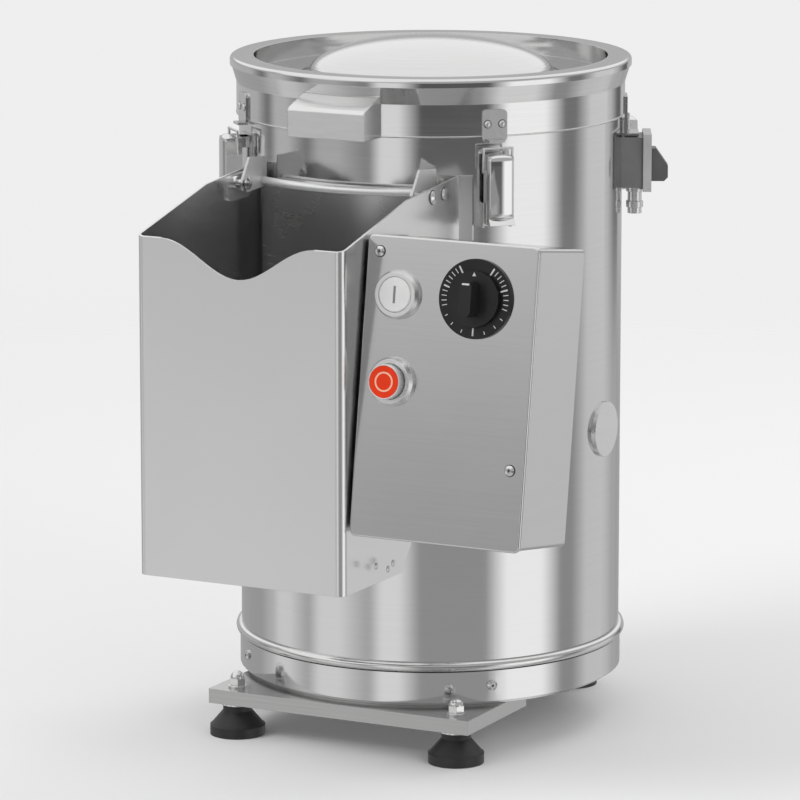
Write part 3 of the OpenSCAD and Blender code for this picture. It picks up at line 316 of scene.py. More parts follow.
# Everything else: its colour lies between a low and a high one
coats = {
    "rubber": dict(low=(0.010, 0.010, 0.011), high=(0.024, 0.024, 0.025), rough=0.42, bump=0.25),
    "blackPlastic": dict(low=(0.008, 0.008, 0.0085), high=(0.015, 0.015, 0.016), rough=0.30,
                         bump=0.1, specular=0.35),
    # Painted shade: near black, for the crosses in screw heads, the rings round heads and the line
    # under the collar bead
    "recessShade": dict(low=(0.008, 0.008, 0.008), high=(0.02, 0.02, 0.02), rough=0.5, bump=0.1),
    "greyPlastic": dict(low=(0.15, 0.15, 0.15), high=(0.19, 0.19, 0.19), rough=0.34, bump=0.1),
    "palePlastic": dict(low=(0.42, 0.42, 0.42), high=(0.48, 0.48, 0.48), rough=0.30, bump=0.1),
    "slatePlastic": dict(low=(0.085, 0.085, 0.088), high=(0.11, 0.11, 0.113), rough=0.34, bump=0.1),
    "whitePlastic": dict(low=(0.60, 0.60, 0.60), high=(0.66, 0.66, 0.65), rough=0.24, bump=0.04),
    "whitePrint": dict(low=(0.50, 0.50, 0.495), high=(0.60, 0.60, 0.595), rough=0.45, bump=0.1),
    "greyPrint": dict(low=(0.16, 0.16, 0.165), high=(0.22, 0.22, 0.225), rough=0.4, bump=0.1),
    "palePrint": dict(low=(0.72, 0.36, 0.24), high=(0.82, 0.44, 0.30), rough=0.4, bump=0.1),
    "redPlastic": dict(low=(0.60, 0.026, 0.002), high=(0.70, 0.035, 0.003), rough=0.24, bump=0.04,
                       specular=0.28),
    "motorPaint": dict(low=(0.1, 0.12, 0.15), high=(0.14, 0.165, 0.2), rough=0.35, bump=0.2,
                       pitScale=700.0),
    "castMetal": dict(low=(0.42, 0.42, 0.42), high=(0.55, 0.55, 0.55), rough=0.42, bump=0.4,
                      pitScale=900.0, metallic=1.0),
    "grit": dict(low=(0.05, 0.047, 0.044), high=(0.17, 0.16, 0.15), rough=0.75, bump=0.9,
                 pitScale=coarseGrit["grainScale"], group=gritGroup),
}
finishes = {name: steel(name, **look) for name, look in steels.items()}
finishes.update({name: moulded(name, **look) for name, look in coats.items()})

nodeFinishes = {
    "drumSteel": ["drum_shell", "collar_band", "chamber_floor"],
    "lidSteel": ["lid_ring", "lid_dish", "discharge_port"],
    "gripSteel": ["lid_grip"],
    "satinSteel": ["hinge_plates", "button_bezels", "side_plug"],
    "flapSteel": ["discharge_door"],
    "chuteSteel": ["chute"],
    "panelSteel": ["control_box", "control_panel"],
    "railSteel": ["front_rail", "rear_rail", "base_plate"],
    "brightSteel": ["foot_nuts", "collar_screws", "hinge_pins", "chute_rivets", "panel_screws",
                    "box_bolts", "cable_conduit", "latch_bases", "latch_keepers", "switch_tongue",
                    "bearings", "spindle", "water_inlet",
                    *("lever_" + corner for corner in corners),
                    *("bail_" + corner for corner in corners)],
    "dullSteel": ["foot_studs", "motor_plate", "drain_elbow"],
    "rubber": ["foot_pads", "port_seal", "lid_seal", "shaft_seal"],
    "blackPlastic": ["dial_plate", "timer_knob", "contact_blocks", "timer_body", "cable_gland",
                     "door_magnets"],
    "greyPlastic": ["switch_housing"],
    "palePlastic": ["switch_cover"],
    "slatePlastic": ["switch_wedge"],
    "whitePlastic": ["start_cap"],
    "redPlastic": ["stop_cap"],
    "motorPaint": ["gear_motor"],
    "castMetal": ["bearing_housing"],
    "grit": ["wall_lining", "abrasive_disc"],
}
for finish, names in nodeFinishes.items():
    for name in names:
        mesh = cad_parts[name].data
        mesh.materials.clear()
        mesh.materials.append(finishes[finish])
dressed = {name for names in nodeFinishes.values() for name in names}
print("finishes:", len(finishes), "left plain:", sorted(set(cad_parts) - dressed))


# The faces of a grid of points whose rows close on themselves: each joins a point to its right,
# upper right and upper neighbours
def gridFaces(rows, columns, first):
    row, column = np.meshgrid(np.arange(rows - 1), np.arange(columns), indexing="ij")
    following = (column + 1) % columns
    around = [row * columns + column, row * columns + following,
              (row + 1) * columns + following, (row + 1) * columns + column]
    return np.stack(around, axis=-1).reshape(-1, 4) + first


merge = {"doubles": 1e-6, "flat": 1e-7}        # distances in metres


# A new piece from grids of one size, with doubled points merged and its faces turned outwards
def addPiece(name, grids, body, finish, smooth=True):
    grids = np.asarray(grids)
    count, rows, columns = grids.shape[:3]
    faces = np.concatenate([gridFaces(rows, columns, index * rows * columns)
                            for index in range(count)])
    mesh = bpy.data.meshes.new(name)
    mesh.from_pydata(grids.reshape(-1, 3).tolist(), [], faces.tolist())
    shape = bmesh.new()
    shape.from_mesh(mesh)
    bmesh.ops.remove_doubles(shape, verts=shape.verts, dist=merge["doubles"])
    bmesh.ops.dissolve_degenerate(shape, edges=shape.edges, dist=merge["flat"])
    bmesh.ops.recalc_face_normals(shape, faces=shape.faces)
    shape.to_mesh(mesh)
    shape.free()
    mesh.polygons.foreach_set("use_smooth", np.full(len(mesh.polygons), smooth))
    mesh.materials.append(finishes[finish])
    piece = bpy.data.objects.new(name, mesh)
    bpy.context.collection.objects.link(piece)
    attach(piece, body)


# A point on the drum's axis at a height
def onAxis(height=0.0):
    return np.array((*drum["axis"], height))


# A point so far right of the drum's axis, so far in front of it, and so high
def besideAxis(right, front, height):
    return np.array((drum["axis"][0] + right, drum["axis"][1] - front, height))


# At an angle in degrees from the front: the direction out of the drum, whose parts are the sine
# and minus the cosine, and the one along it, whose parts are the cosine and the sine
def outAndAlong(angle):
    turn = math.radians(angle)
    return (np.array((math.sin(turn), -math.cos(turn), 0)),
            np.array((math.cos(turn), math.sin(turn), 0)))


# Three axes of unit length: the third along a direction, the second as near as can be to another
def axesAlong(direction, upwards=(0, 0, 1)):
    out = np.array(direction, float) / np.linalg.norm(direction)
    side = np.cross(upwards, out)
    side /= np.linalg.norm(side)
    return np.array([side, np.cross(out, side), out])


# A profile turned about an axis: radius times the cosine and sine of the angle, and height along
# the axis
def turnedProfile(profile, place, axes, steps):
    radius, height = np.asarray(profile, float).T
    angle = np.arange(steps) * 2 * np.pi / steps
    local = np.stack([np.outer(radius, np.cos(angle)), np.outer(radius, np.sin(angle)),
                      np.repeat(height[:, None], steps, 1)], -1)
    return local @ axes + place


# An outline carried along a path: each of its points lies so far to the path's side and so far
# along its upward direction. A path that isn't closed ends in a point at the outline's middle.
def carriedOutline(path, outline, upwards, closed):
    ahead = np.roll(path, -1, 0) - np.roll(path, 1, 0)
    if not closed:
        ahead[0], ahead[-1] = path[1] - path[0], path[-1] - path[-2]
    side = np.cross(ahead, upwards)
    side /= np.linalg.norm(side, axis=1)[:, None]
    sideways, raised = outline[None, :, :1], outline[None, :, 1:]
    grid = path[:, None] + sideways * side[:, None] + raised * np.asarray(upwards)
    if closed:
        return np.concatenate([grid, grid[:1]])
    ends = [np.repeat(grid[place].mean(0)[None, None], len(outline), 1) for place in (0, -1)]
    return np.concatenate([ends[0], grid, ends[1]])


# A circle of points: the cosine and sine of equal steps, times the radius
def circleOutline(radius, steps=12):
    angle = np.arange(steps) * 2 * np.pi / steps
    return radius * np.stack([np.cos(angle), np.sin(angle)], -1)


# A rectangle about the middle, as four corners
def rectangle(halfWide, halfTall):
    return [(-halfWide, -halfTall), (-halfWide, halfTall), (halfWide, halfTall),
            (halfWide, -halfTall)]


# A dome's profile: the radius times the cosine and the height times the sine of a quarter turn,
# over a short sunken side
def domeProfile(radius, height, sunk, steps):
    bow = np.linspace(0, np.pi / 2, steps)
    return np.concatenate([[(0, -sunk), (radius, -sunk)],
                           np.column_stack([radius * np.cos(bow), height * np.sin(bow)])])


# Flat slabs: each outline's middle and its points below their seat, then the points and their
# middle raised
def raisedSlabs(outlines, place, axes, height, sunk=0.0002):
    outlines = np.asarray(outlines, float)
    middle = np.repeat(outlines.mean(1)[:, None], outlines.shape[1], 1)
    levels = [(middle, -sunk), (outlines, -sunk), (outlines, height), (middle, height)]
    local = np.stack([np.concatenate([points, np.full(points.shape[:2] + (1,), level)], -1)
                      for points, level in levels], 1)
    return local @ axes + place


# Bars from an inner to an outer radius at some angles, each as four corners. Angles go clockwise
# from the top. A corner lies its radius along the bar and half the width across it.
def radialBars(angles, inner, outer, width):
    turn = np.radians(np.asarray(angles, float))[:, None, None]
    along = np.stack([np.sin(turn), np.cos(turn)], -1)[:, :, 0]
    across = np.stack([np.cos(turn), -np.sin(turn)], -1)[:, :, 0]
    radii = np.stack(np.broadcast_arrays(inner, outer, outer, inner), -1).reshape(-1, 4, 1)
    reach = radii * np.ones((len(turn), 1, 1))
    half = np.array([-0.5, -0.5, 0.5, 0.5]).reshape(1, 4, 1) * width
    return along * reach + across * half


# Control panel: its upper left corner, and its axes right, up the panel and out of it. Places on
# it are (across, down) from that corner.
panel = {"lean": 8.5, "thick": 0.002, "startAt": (0.0218, 0.0344), "stopAt": (0.0218, 0.0873),
         "startProud": 0.0056, "stopProud": 0.012, "corner": 0.003, "edgeBead": 0.0011,
         "seamBead": 0.0007, "seamBack": 0.0040, "screwProud": 0.0016,
         "screwAt": ((0.0076, 0.009), (0.1044, 0.1342))}
leanSine = math.sin(math.radians(panel["lean"]))
leanCosine = math.cos(math.radians(panel["lean"]))
panelLow, panelHigh = (np.array(corner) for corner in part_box("control_panel"))
panelTall = (panelHigh[2] - panelLow[2] - panel["thick"] * leanSine) / leanCosine
panelWide = panelHigh[0] - panelLow[0]
panelCorner = np.array((panelLow[0], panelLow[1] + panelTall * leanSine, panelHigh[2]))
panelAxes = np.array(((1, 0, 0), (0, leanSine, leanCosine), (0, -leanCosine, leanSine)))


# A point so far across the panel, so far down it, and so far out of it
def onPanel(across, down, proud=0.0):
    return panelCorner + np.array((across, -down, proud)) @ panelAxes


# A closed line round a rectangle with rounded corners, as (across, down) pairs: each corner is a
# quarter of a circle about its own middle
def roundedRectangle(wide, tall, corner, steps=8):
    turn = np.linspace(0, np.pi / 2, steps)
    middles = [(wide - corner, tall - corner), (corner, tall - corner), (corner, corner),
               (wide - corner, corner)]
    return np.concatenate([np.stack([x + corner * np.cos(turn + quarter * np.pi / 2),
                                     y + corner * np.sin(turn + quarter * np.pi / 2)], -1)
                           for quarter, (x, y) in enumerate(middles)])


# The folded edge of the panel, and the fold of the box behind it
for name, bead, proud in (("panelEdge", panel["edgeBead"], -panel["edgeBead"]),
                          ("boxFold", panel["seamBead"], -panel["seamBack"])):
    line = roundedRectangle(panelWide, panelTall, panel["corner"])
    local = np.column_stack([line[:, 0], -line[:, 1], np.full(len(line), proud)])
    path = panelCorner + local @ panelAxes
    grid = carriedOutline(path, circleOutline(bead), panelAxes[2], closed=True)
    addPiece(name, [grid], "machine", "brightSteel")

# Dial: its printed scale, with short bars close together above and further apart below. The
# pointer is a triangle on the knob's skirt, and the dash is at the end of the knob's bar.
dial = {"thick": 0.002, "gap": 0.0003, "skirt": 0.003, "bar": 0.011, "print": 0.00012,
        "inner": 0.0190, "outer": 0.0224, "first": 31.6, "last": 104.0, "upper": 10, "longAt": 5,
        "foot": 180, "lower": (121, 138, 159, 180, 201, 222, 239), "width": 0.0005,
        "longWidth": 0.0010, "longBy": 0.0014, "lowerBy": 0.0014,
        "pointer": [(-0.0012, 0.0138), (0, 0.0162), (0.0012, 0.0138)],
        "dash": [(-0.0024, 0.0084), (-0.0024, 0.0095), (0.0024, 0.0095), (0.0024, 0.0084)]}
dialFace = np.array(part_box("dial_plate")).mean(0) + panelAxes[2] * dial["thick"] / 2
right = np.linspace(dial["first"], dial["last"], dial["upper"])
long = np.array((dial["first"], right[dial["longAt"]], dial["foot"],
                 360 - right[dial["longAt"]], 360 - dial["first"]))
short = np.setdiff1d(np.concatenate([right, 360 - right]), long)
bars = np.concatenate([
    radialBars(short, dial["inner"], dial["outer"], dial["width"]),
    radialBars(dial["lower"], dial["inner"] + dial["lowerBy"], dial["outer"], dial["width"]),
    radialBars(long, dial["inner"] - dial["longBy"], dial["outer"], dial["longWidth"])])
knobFace = dialFace + panelAxes[2] * (dial["gap"] + dial["skirt"])
barFace = knobFace + panelAxes[2] * dial["bar"]
for name, outlines, place, body in (("dialScale", bars, dialFace, "machine"),
                                    ("knobPointer", [dial["pointer"]], knobFace, "timer"),
                                    ("knobDash", [dial["dash"]], barFace, "timer")):
    addPiece(name, raisedSlabs(outlines, place, panelAxes, dial["print"]), body,
             "whitePrint", smooth=False)

# The buttons' marks: a bar on start, a ring on stop
mark = {"barWide": 0.0015, "barTall": 0.0105, "ringMiddle": 0.0056, "ringWide": 0.0011,
        "raise": 0.0001, "steps": 64}
startFace = onPanel(*panel["startAt"], panel["startProud"])
startBar = raisedSlabs([rectangle(mark["barWide"] / 2, mark["barTall"] / 2)], startFace,
                       panelAxes, mark["raise"])
addPiece("startMark", startBar, "start_button", "greyPrint", smooth=False)
inner = mark["ringMiddle"] - mark["ringWide"] / 2
outer = mark["ringMiddle"] + mark["ringWide"] / 2
profile = [(inner, -mark["raise"]), (outer, -mark["raise"]), (outer, mark["raise"]),
           (inner, mark["raise"]), (inner, -mark["raise"])]
ring = turnedProfile(profile, onPanel(*panel["stopAt"], panel["stopProud"]), panelAxes,
                     mark["steps"])
addPiece("stopMark", [ring], "stop_button", "palePrint", smooth=False)

# The steel sleeve round the stop button, turned in over the edge of its red face
sleeve = {"side": 0.01078, "wall": 0.0004, "lip": 0.0099, "foot": 0.0042, "bend": 0.0005,
          "over": 0.00016, "bendSteps": 6, "steps": 64}
arc = np.linspace(0, np.pi / 2, sleeve["bendSteps"])
lipTop, lipFoot = panel["stopProud"] + sleeve["over"], panel["stopProud"] - sleeve["over"]
shoulder = np.column_stack([sleeve["side"] - sleeve["bend"] * (1 - np.cos(arc)),
                            lipTop - sleeve["bend"] * (1 - np.sin(arc))])
profile = np.concatenate([[(sleeve["side"] - sleeve["wall"], sleeve["foot"]),
                           (sleeve["side"], sleeve["foot"])], shoulder,
                          [(sleeve["lip"], lipTop), (sleeve["lip"], lipFoot)]])
grid = turnedProfile(profile, onPanel(*panel["stopAt"]), panelAxes, sleeve["steps"])
addPiece("stopSleeve", [grid], "stop_button", "satinSteel")

# Screw recesses, as painted shade: a dark cross on each head, of two slabs
recessShade = {"long": 0.0011, "wide": 0.00033, "proud": 0.00006, "collarUp": 0.0106,
          "collarHead": 0.003}
cross = [rectangle(recessShade["long"], recessShade["wide"]), rectangle(recessShade["wide"], recessShade["long"])]
crossPlaces = {f"panelScrewCross{number}": (onPanel(*place, panel["screwProud"]), panelAxes)
               for number, place in enumerate(panel["screwAt"])}
for corner, angle in corners.items():
    out = outAndAlong(angle)[0]
    place = onAxis(drum["foot"] + recessShade["collarUp"])
    place = place + out * (drum["radius"] + recessShade["collarHead"])
    crossPlaces["collarScrewCross" + corner.title().replace("_", "")] = (place, axesAlong(out))
for name, (place, axes) in crossPlaces.items():
    addPiece(name, raisedSlabs(cross, place, axes, recessShade["proud"]), "machine",
             "recessShade", smooth=False)
print("panel, dial and marks ready")

# Rivets: higher domes on the keepers' rivets, and the shadow gap round each rivet, pin and panel
# screw. Each pair in wall is (distance in front of the drum's axis, radius of the head).
rims = {"wide": 0.0005, "proud": 0.00008, "under": 0.0003, "keeperOut": 0.0031,
        "keeperAcross": 0.00485, "keeperUp": 0.408, "keeperHead": 0.0022, "keeperDome": 0.0016,
        "sunk": 0.0001, "domeSteps": 7, "wallOut": 0.072, "wallUp": 0.367,
        "wall": ((0.1255, 0.0036), (0.141, 0.0042)), "screw": 0.0032, "steps": 24}


# A flat ring round a head, dark with painted shadow: its inner edge lies under the head, and its
# outer edge a little beyond
def rimGrid(place, axes, radius):
    inner, outer = radius - rims["under"], radius + rims["wide"]
    profile = [(inner, -rims["under"]), (inner, rims["proud"]), (outer, rims["proud"]),
               (outer, -rims["under"])]
    return turnedProfile(profile, place, axes, rims["steps"])


keeperDome = domeProfile(rims["keeperHead"], rims["keeperDome"], rims["sunk"], rims["domeSteps"])
keeperRims, keeperDomes = [], []
for angle in corners.values():
    out, along = outAndAlong(angle)
    for side in (-1, 1):
        place = (onAxis(rims["keeperUp"]) + out * (drum["radius"] + rims["keeperOut"])
                 + along * side * rims["keeperAcross"])
        keeperRims.append(rimGrid(place, axesAlong(out), rims["keeperHead"]))
        keeperDomes.append(turnedProfile(keeperDome, place, axesAlong(out), rims["steps"]))
wallRims = [rimGrid(besideAxis(side * rims["wallOut"], front, rims["wallUp"]),
                    axesAlong((side, 0, 0)), radius)
            for side in (-1, 1) for front, radius in rims["wall"]]
screwRims = [rimGrid(onPanel(*place), panelAxes, rims["screw"]) for place in panel["screwAt"]]
# Dark rings of painted shadow round the keepers' rivets, the wall's pins and the panel's screws
addPiece("keeperRims", keeperRims, "lid", "recessShade", smooth=False)
addPiece("keeperDomes", keeperDomes, "lid", "brightSteel")
addPiece("wallRims", wallRims, "machine", "recessShade", smooth=False)
addPiece("panelScrewRims", screwRims, "machine", "recessShade", smooth=False)

# Lid: the rolled hem along the skirt's foot
hem = {"radius": 0.0006, "skirt": 0.0016, "sunk": 0.0002, "around": 10, "steps": 180}
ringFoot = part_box("lid_ring")[0][2]
profile = circleOutline(hem["radius"], hem["around"])
profile = profile + (drum["radius"] + hem["skirt"] - hem["sunk"], 0)
grid = turnedProfile(np.concatenate([profile, profile[:1]]), onAxis(ringFoot + hem["radius"]),
                     np.eye(3), hem["steps"])
addPiece("skirtHem", [grid], "lid", "brightSteel")

# Levers: a rounded cover that is bent over the top. It stands proudest along the middle of the
# lever's face: its height over the path is its least height plus its bow times one less the
# square of the place across.
cover = {"face": 0.0161, "foot": 0.3500, "top": 0.3887, "bend": 0.0027, "rear": 0.0063,
         "half": 0.0082, "least": 0.0001, "bow": 0.0017, "under": 0.0002, "across": 15,
         "bendSteps": 7, "faceSteps": 12}
across = np.linspace(-1, 1, cover["across"])
crown = np.column_stack([cover["least"] + cover["bow"] * (1 - across ** 2),
                         cover["half"] * across])
backing = np.column_stack([np.full(len(across), -cover["under"]), cover["half"] * across[::-1]])
arc = np.linspace(np.pi / 2, 0, cover["bendSteps"])
reach = drum["radius"] + cover["face"] - cover["bend"]
bent = np.column_stack([reach + cover["bend"] * np.cos(arc),
                        cover["top"] - cover["bend"] * (1 - np.sin(arc))])
heights = np.linspace(cover["top"] - cover["bend"], cover["foot"], cover["faceSteps"] + 1)[1:]
straight = np.column_stack([np.full(cover["faceSteps"], reach + cover["bend"]), heights])
path = np.concatenate([[(drum["radius"] + cover["rear"], cover["top"])], bent, straight])
for corner, angle in corners.items():
    out, along = outAndAlong(angle)
    line = onAxis() + path[:, :1] * out + path[:, 1:] * np.array((0, 0, 1))
    grid = carriedOutline(line, np.concatenate([crown, backing]), along, closed=False)
    addPiece("leverCover" + corner.title().replace("_", ""), [grid], "lever_" + corner,
             "leverSteel")

# Flap: the roll along its top, an arc round the drum's axis that ends at the flap's ears
roll = {"radius": 0.0026, "around": 0.1336, "up": 0.366, "half": 26.4, "steps": 72,
        "outlineSteps": 16}
turn = np.radians(np.linspace(-roll["half"], roll["half"], roll["steps"]))
path = onAxis(roll["up"]) + roll["around"] * np.stack(
    [np.sin(turn), -np.cos(turn), np.zeros(len(turn))], -1)
grid = carriedOutline(path, circleOutline(roll["radius"], roll["outlineSteps"]), (0, 0, 1),
                      closed=False)
addPiece("flapRoll", [grid], "door", "rollSteel")

# Flap: the paler skin on both sides of its ears. Its outline is in pairs, as (distance behind
# the pivot, height above it), and each side is (place to the right, direction that it faces).
ears = {"outline": ((0, -0.006), (0.0263, -0.005), (0.0263, 0.0138), (0.004, 0.016),
                    (-0.005, 0.0033)),
        "skin": 0.0001, "pivotOut": 0.141, "pivotUp": 0.367,
        "sides": ((-0.05975, 1), (-0.06125, -1), (0.05975, -1), (0.06125, 1))}
for number, (sideways, facing) in enumerate(ears["sides"]):
    place = besideAxis(sideways, ears["pivotOut"], ears["pivotUp"])
    axes = np.array(((0, 1, 0), (0, 0, 1), (facing, 0, 0)))
    addPiece(f"flapEarSkin{number}", raisedSlabs([ears["outline"]], place, axes, ears["skin"]),
             "door", "rollSteel", smooth=False)

# Lid switch: the steel gland below its housing, with a ring near its foot and one at its top
gland = {"angle": 116, "out": 0.0084, "low": 0.3328, "high": 0.3512, "radius": 0.0046,
         "ring": 0.0056, "ringTall": 0.004, "steps": 24}
out = outAndAlong(gland["angle"])[0]
place = onAxis() + (drum["radius"] + gland["out"]) * out
low, high, ringTall = gland["low"], gland["high"], gland["ringTall"]
profile = [(0, low), (gland["radius"], low), (gland["radius"], low + ringTall),
           (gland["ring"], low + ringTall), (gland["ring"], low + 2 * ringTall),
           (gland["radius"], low + 2 * ringTall), (gland["radius"], high - ringTall),
           (gland["ring"], high - ringTall), (gland["ring"], high), (0, high)]
grid = turnedProfile(profile, place, np.eye(3), gland["steps"])
addPiece("switchGland", [grid], "machine", "satinSteel", smooth=False)
print("rivets, latches, flap and switch ready")

# Collar: its rolled bead, which is half of an ellipse, with the shadow gap under it
bead = {"tall": 0.0062, "reach": 0.0026, "top": 0.0270, "collar": 0.001, "back": 0.0005,
        "seat": 0.0001, "gapTall": 0.0007, "gapBack": 0.0002, "gapOut": 0.0001, "arcSteps": 12,
        "steps": 180}
collarOut = drum["radius"] + bead["collar"]
arc = np.linspace(-np.pi / 2, np.pi / 2, bead["arcSteps"])
middleUp = drum["foot"] + bead["top"] - bead["tall"] / 2
profile = np.column_stack([collarOut + bead["reach"] * np.cos(arc),
                           middleUp + bead["tall"] / 2 * np.sin(arc)])
profile = np.concatenate([[(collarOut - bead["back"], profile[0, 1])], profile,
                          [(drum["radius"] + bead["seat"], profile[-1, 1])]])
grid = turnedProfile(profile, onAxis(), np.eye(3), bead["steps"])
addPiece("collarBead", [grid], "machine", "brightSteel")
# The gap under the bead is a thin dark band of painted shadow
low = drum["foot"] + bead["top"] - bead["tall"] - bead["gapTall"]
inner, outer = collarOut - bead["gapBack"], collarOut + bead["gapOut"]
profile = [(inner, low), (outer, low), (outer, low + bead["gapTall"]),
           (inner, low + bead["gapTall"])]
grid = turnedProfile(profile, onAxis(), np.eye(3), bead["steps"])
addPiece("collarGap", [grid], "machine", "recessShade", smooth=False)

# Drum: its weld seam at the back, ground nearly flush. Its height ripples with a sine.
seam = {"angle": 157, "wide": 0.0022, "proud": 0.0004, "below": 0.035, "above": 0.004,
        "level": 0.7, "wave": 0.3, "pitch": 900, "shift": 0.2, "rows": 60, "outlineSteps": 10}
out = outAndAlong(seam["angle"])[0]
heights = np.linspace(drum["foot"] + seam["below"], ringFoot - seam["above"], seam["rows"])
ripple = seam["proud"] * (seam["level"] + seam["wave"] * np.sin(heights * seam["pitch"]))
outwards = np.outer(drum["radius"] + ripple * seam["shift"], out[:2])
path = onAxis() + np.column_stack([outwards, heights])
oval = circleOutline(1.0, seam["outlineSteps"]) * (seam["wide"], seam["proud"])
grid = carriedOutline(path, oval, out, closed=False)
addPiece("drumSeam", [grid], "machine", "dullSteel")

# Chute: three small domed rivets low on its right wall, as (distance in front of the drum's
# axis, height)
rivets = {"at": ((0.2319, 0.1505), (0.2158, 0.1454), (0.2090, 0.1478)), "radius": 0.0022,
          "height": 0.0011, "sunk": 0.0002, "domeSteps": 8, "steps": 20}
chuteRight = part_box("chute")[1][0]
profile = domeProfile(rivets["radius"], rivets["height"], rivets["sunk"], rivets["domeSteps"])
domes = [turnedProfile(profile, np.array((chuteRight, drum["axis"][1] - front, height)),
                       axesAlong((1, 0, 0)), rivets["steps"]) for front, height in rivets["at"]]
addPiece("chuteStuds", domes, "machine", "brightSteel")

# Feet: a moulded ring round each neck, and a steel washer under the rail. Their places are
# (right of the drum's axis, in front of it).
foot = {"places": ((0.0795, 0.1215), (-0.0795, 0.1215), (0.057, -0.0985), (-0.057, -0.0985)),
        "ringUp": 0.0062, "ringOut": 0.0181, "ring": 0.0006, "lipSteps": 8, "ringSteps": 48,
        "washerOut": 0.0108, "washerUp": 0.0200, "washerThick": 0.0014, "washerSteps": 40}
lip = circleOutline(foot["ring"], foot["lipSteps"])
lip = lip + (foot["ringOut"] - foot["ring"], foot["ringUp"])
low, high = foot["washerUp"], foot["washerUp"] + foot["washerThick"]
washer = [(0, low), (foot["washerOut"], low), (foot["washerOut"], high), (0, high)]
places = [besideAxis(*place, 0) for place in foot["places"]]
rings = [turnedProfile(np.concatenate([lip, lip[:1]]), place, np.eye(3), foot["ringSteps"])
         for place in places]
washers = [turnedProfile(washer, place, np.eye(3), foot["washerSteps"]) for place in places]
addPiece("footRings", rings, "machine", "rubber")
addPiece("footWashers", washers, "machine", "brightSteel", smooth=False)
print("collar, seam, studs and feet ready")

# Studio round the object, as metal sees it: white boards and dark gaps. Each
# board is (from, to, tone below, tone above), in degrees from the front towards the control box.
# A height here is the upward part of a direction whose length is one.
studio = {
    "boards": [(-125, -98, 0.40, 0.50), (-87, -85, 0.55, 0.20), (-78, -68, 0.76, 0.52),
               (-54, -52, 0.48, 0.19), (-44, -30, 0.80, 0.44), (-13, -10, 0.49, 0.25),
               (-3, 8, 0.86, 0.84), (21, 60, 0.35, 0.10), (74, 98, 1.10, 1.10),
               (113, 122, 0.32, 0.20), (136, 156, 0.67, 0.72), (172, 179, 0.45, 0.14)],
    "blend": (-0.19, -0.142),        # the tone below gives way to the tone above
    "low": (-0.62, -0.34), "lowShare": 0.6, "lowLift": 0.12,        # boards fade near the floor
    "turnUp": (0.0, 0.12), "upperTone": 0.45,        # the boards end, and the ceiling begins
    "cards": [{"toward": 207, "up": 65, "edge": (50, 58), "tone": 0.98},
              {"toward": -36, "up": 42, "edge": (32, 41), "tone": 0.98}],
    "ambient": 0.72,        # what dull surfaces see
    "backdrop": 0.86,        # what the camera sees
    "lamps": [("keyLamp", (-1.5, -2.2, 2.4), 1.8, 38.0),        # name, place, width, watts
              ("fillLamp", (2.4, -1.2, 1.6), 1.6, 16.0),
              ("rearLamp", (0.6, 2.2, 2.2), 1.6, 18.0)],
    "floorTone": 0.84, "floorFade": (0.75, 1.9), "floorHalf": 4.0,
}
world = bpy.data.worlds.new("studio")
bpy.context.scene.world = world
world.use_nodes = True
tree = world.node_tree
direction = addNode(tree, "SeparateXYZ")
seenAlong = addNode(tree, "TexCoord").outputs["Generated"]
tree.links.new(seenAlong, direction.inputs[0])
azimuth = nodeSum(tree, "ARCTAN2", direction.outputs[0],
                  nodeSum(tree, "MULTIPLY", direction.outputs[1], -1.0))
share = nodeSum(tree, "ADD", nodeSum(tree, "DIVIDE", azimuth, 2 * math.pi), 0.5)


# A smooth step of a value between two limits
def smoothStep(tree, source, limits):
    node = addNode(tree, "MapRange", interpolation_type="SMOOTHSTEP",
                   inputs={1: limits[0], 2: limits[1]})
    tree.links.new(source, node.inputs[0])
    return node.outputs[0]


# A mix of two tones, where each is a number or another node's output
def mixTones(tree, factor, a, b):
    node = addNode(tree, "Mix", data_type="RGBA")
    tree.links.new(factor, node.inputs["Factor"])
    for label, tone in (("A", a), ("B", b)):
        if isinstance(tone, float):
            node.inputs[label].default_value = (tone, tone, tone, 1)
        else:
            tree.links.new(tone, node.inputs[label])
    return node.outputs["Result"]


below, above = [greyRamp(tree, share, [(degrees / 360 + 0.5, board[column])
                                       for board in studio["boards"] for degrees in board[:2]])
                for column in (2, 3)]
height = direction.outputs[2]
stripes = mixTones(tree, smoothStep(tree, height, studio["blend"]), below, above)
ground = nodeSum(tree, "ADD", nodeSum(tree, "MULTIPLY", below, studio["lowShare"]),
                 studio["lowLift"])
walls = mixTones(tree, smoothStep(tree, height, studio["low"]), ground, stripes)
ceiling = studio["upperTone"]
for card in studio["cards"]:
    turn, rise = math.radians(card["toward"]), math.radians(card["up"])
    cardAxis = (math.sin(turn) * math.cos(rise), -math.cos(turn) * math.cos(rise), math.sin(rise))
    nearCard = addNode(tree, "VectorMath", operation="DOT_PRODUCT", inputs={1: cardAxis})
    tree.links.new(seenAlong, nearCard.inputs[0])
    cardEdge = [math.cos(math.radians(angle)) for angle in reversed(card["edge"])]
    ceiling = mixTones(tree, smoothStep(tree, nearCard.outputs["Value"], cardEdge), ceiling,
                       card["tone"])
seen = mixTones(tree, smoothStep(tree, height, studio["turnUp"]), walls, ceiling)
rays = addNode(tree, "LightPath")
ambient, backdrop = [addNode(tree, "Background", inputs={0: (tone, tone, tone, 1)})
                     for tone in (studio["ambient"], studio["backdrop"])]
mirrored = addNode(tree, "Background")
tree.links.new(seen, mirrored.inputs[0])
glossyOr = addNode(tree, "MixShader")
cameraOr = addNode(tree, "MixShader")
tree.links.new(nodeSum(tree, "MAXIMUM", rays.outputs["Is Glossy Ray"],
                       rays.outputs["Is Transmission Ray"]), glossyOr.inputs[0])
tree.links.new(ambient.outputs[0], glossyOr.inputs[1])
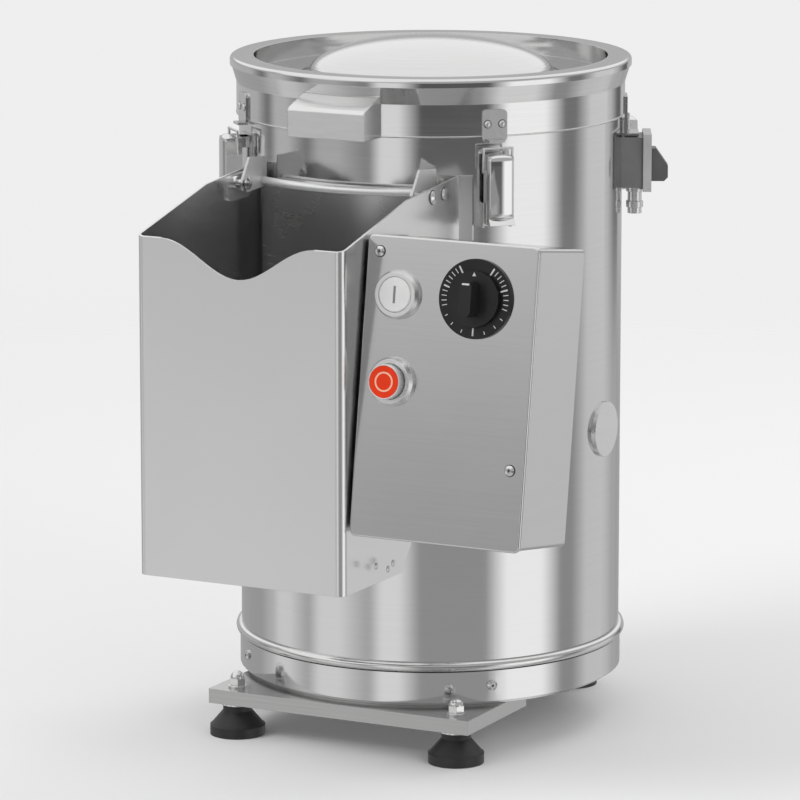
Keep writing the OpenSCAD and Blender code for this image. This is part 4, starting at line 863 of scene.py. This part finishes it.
tree.links.new(mirrored.outputs[0], glossyOr.inputs[2])
tree.links.new(rays.outputs["Is Camera Ray"], cameraOr.inputs[0])
tree.links.new(glossyOr.outputs[0], cameraOr.inputs[1])
tree.links.new(backdrop.outputs[0], cameraOr.inputs[2])
tree.links.new(cameraOr.outputs[0], tree.nodes["World Output"].inputs[0])

# The lamps aim at the object's middle, and metal doesn't see them
middle = (Vector(cadBox[0]) + Vector(cadBox[1])) / 2
for name, place, size, watts in studio["lamps"]:
    lamp = bpy.data.objects.new(name, bpy.data.lights.new(name, "AREA"))
    lamp.data.shape, lamp.data.size, lamp.data.energy = "DISK", size, watts
    lamp.location = place
    lamp.rotation_mode = "QUATERNION"
    lamp.rotation_quaternion = (middle - Vector(place)).to_track_quat("-Z", "Y")
    lamp.visible_glossy = False
    bpy.context.collection.objects.link(lamp)

# Floor: pale near the object, fading into the backdrop, and unseen by metal
floor = bpy.data.objects.new("floor", bpy.data.meshes.new("floor"))
half = studio["floorHalf"]
floor.data.from_pydata([(-half, -half, 0), (half, -half, 0), (half, half, 0), (-half, half, 0)],
                       [], [(0, 1, 2, 3)])
bpy.context.collection.objects.link(floor)
material = bpy.data.materials.new("floorPaper")
material.use_nodes = True
tree = material.node_tree
tree.nodes.remove(tree.nodes["Principled BSDF"])
paper = addNode(tree, "BsdfDiffuse", inputs={0: (studio["floorTone"],) * 3 + (1,)})
clear = addNode(tree, "BsdfTransparent")
away = addNode(tree, "VectorMath", operation="LENGTH")
tree.links.new(addNode(tree, "TexCoord").outputs["Object"], away.inputs[0])
rays = addNode(tree, "LightPath")
hidden = nodeSum(tree, "MAXIMUM", smoothStep(tree, away.outputs["Value"], studio["floorFade"]),
                 rays.outputs["Is Glossy Ray"])
mixed = addNode(tree, "MixShader")
tree.links.new(hidden, mixed.inputs[0])
tree.links.new(paper.outputs[0], mixed.inputs[1])
tree.links.new(clear.outputs[0], mixed.inputs[2])
tree.links.new(mixed.outputs[0], tree.nodes["Material Output"].inputs[0])
floor.data.materials.append(material)
print("studio ready")
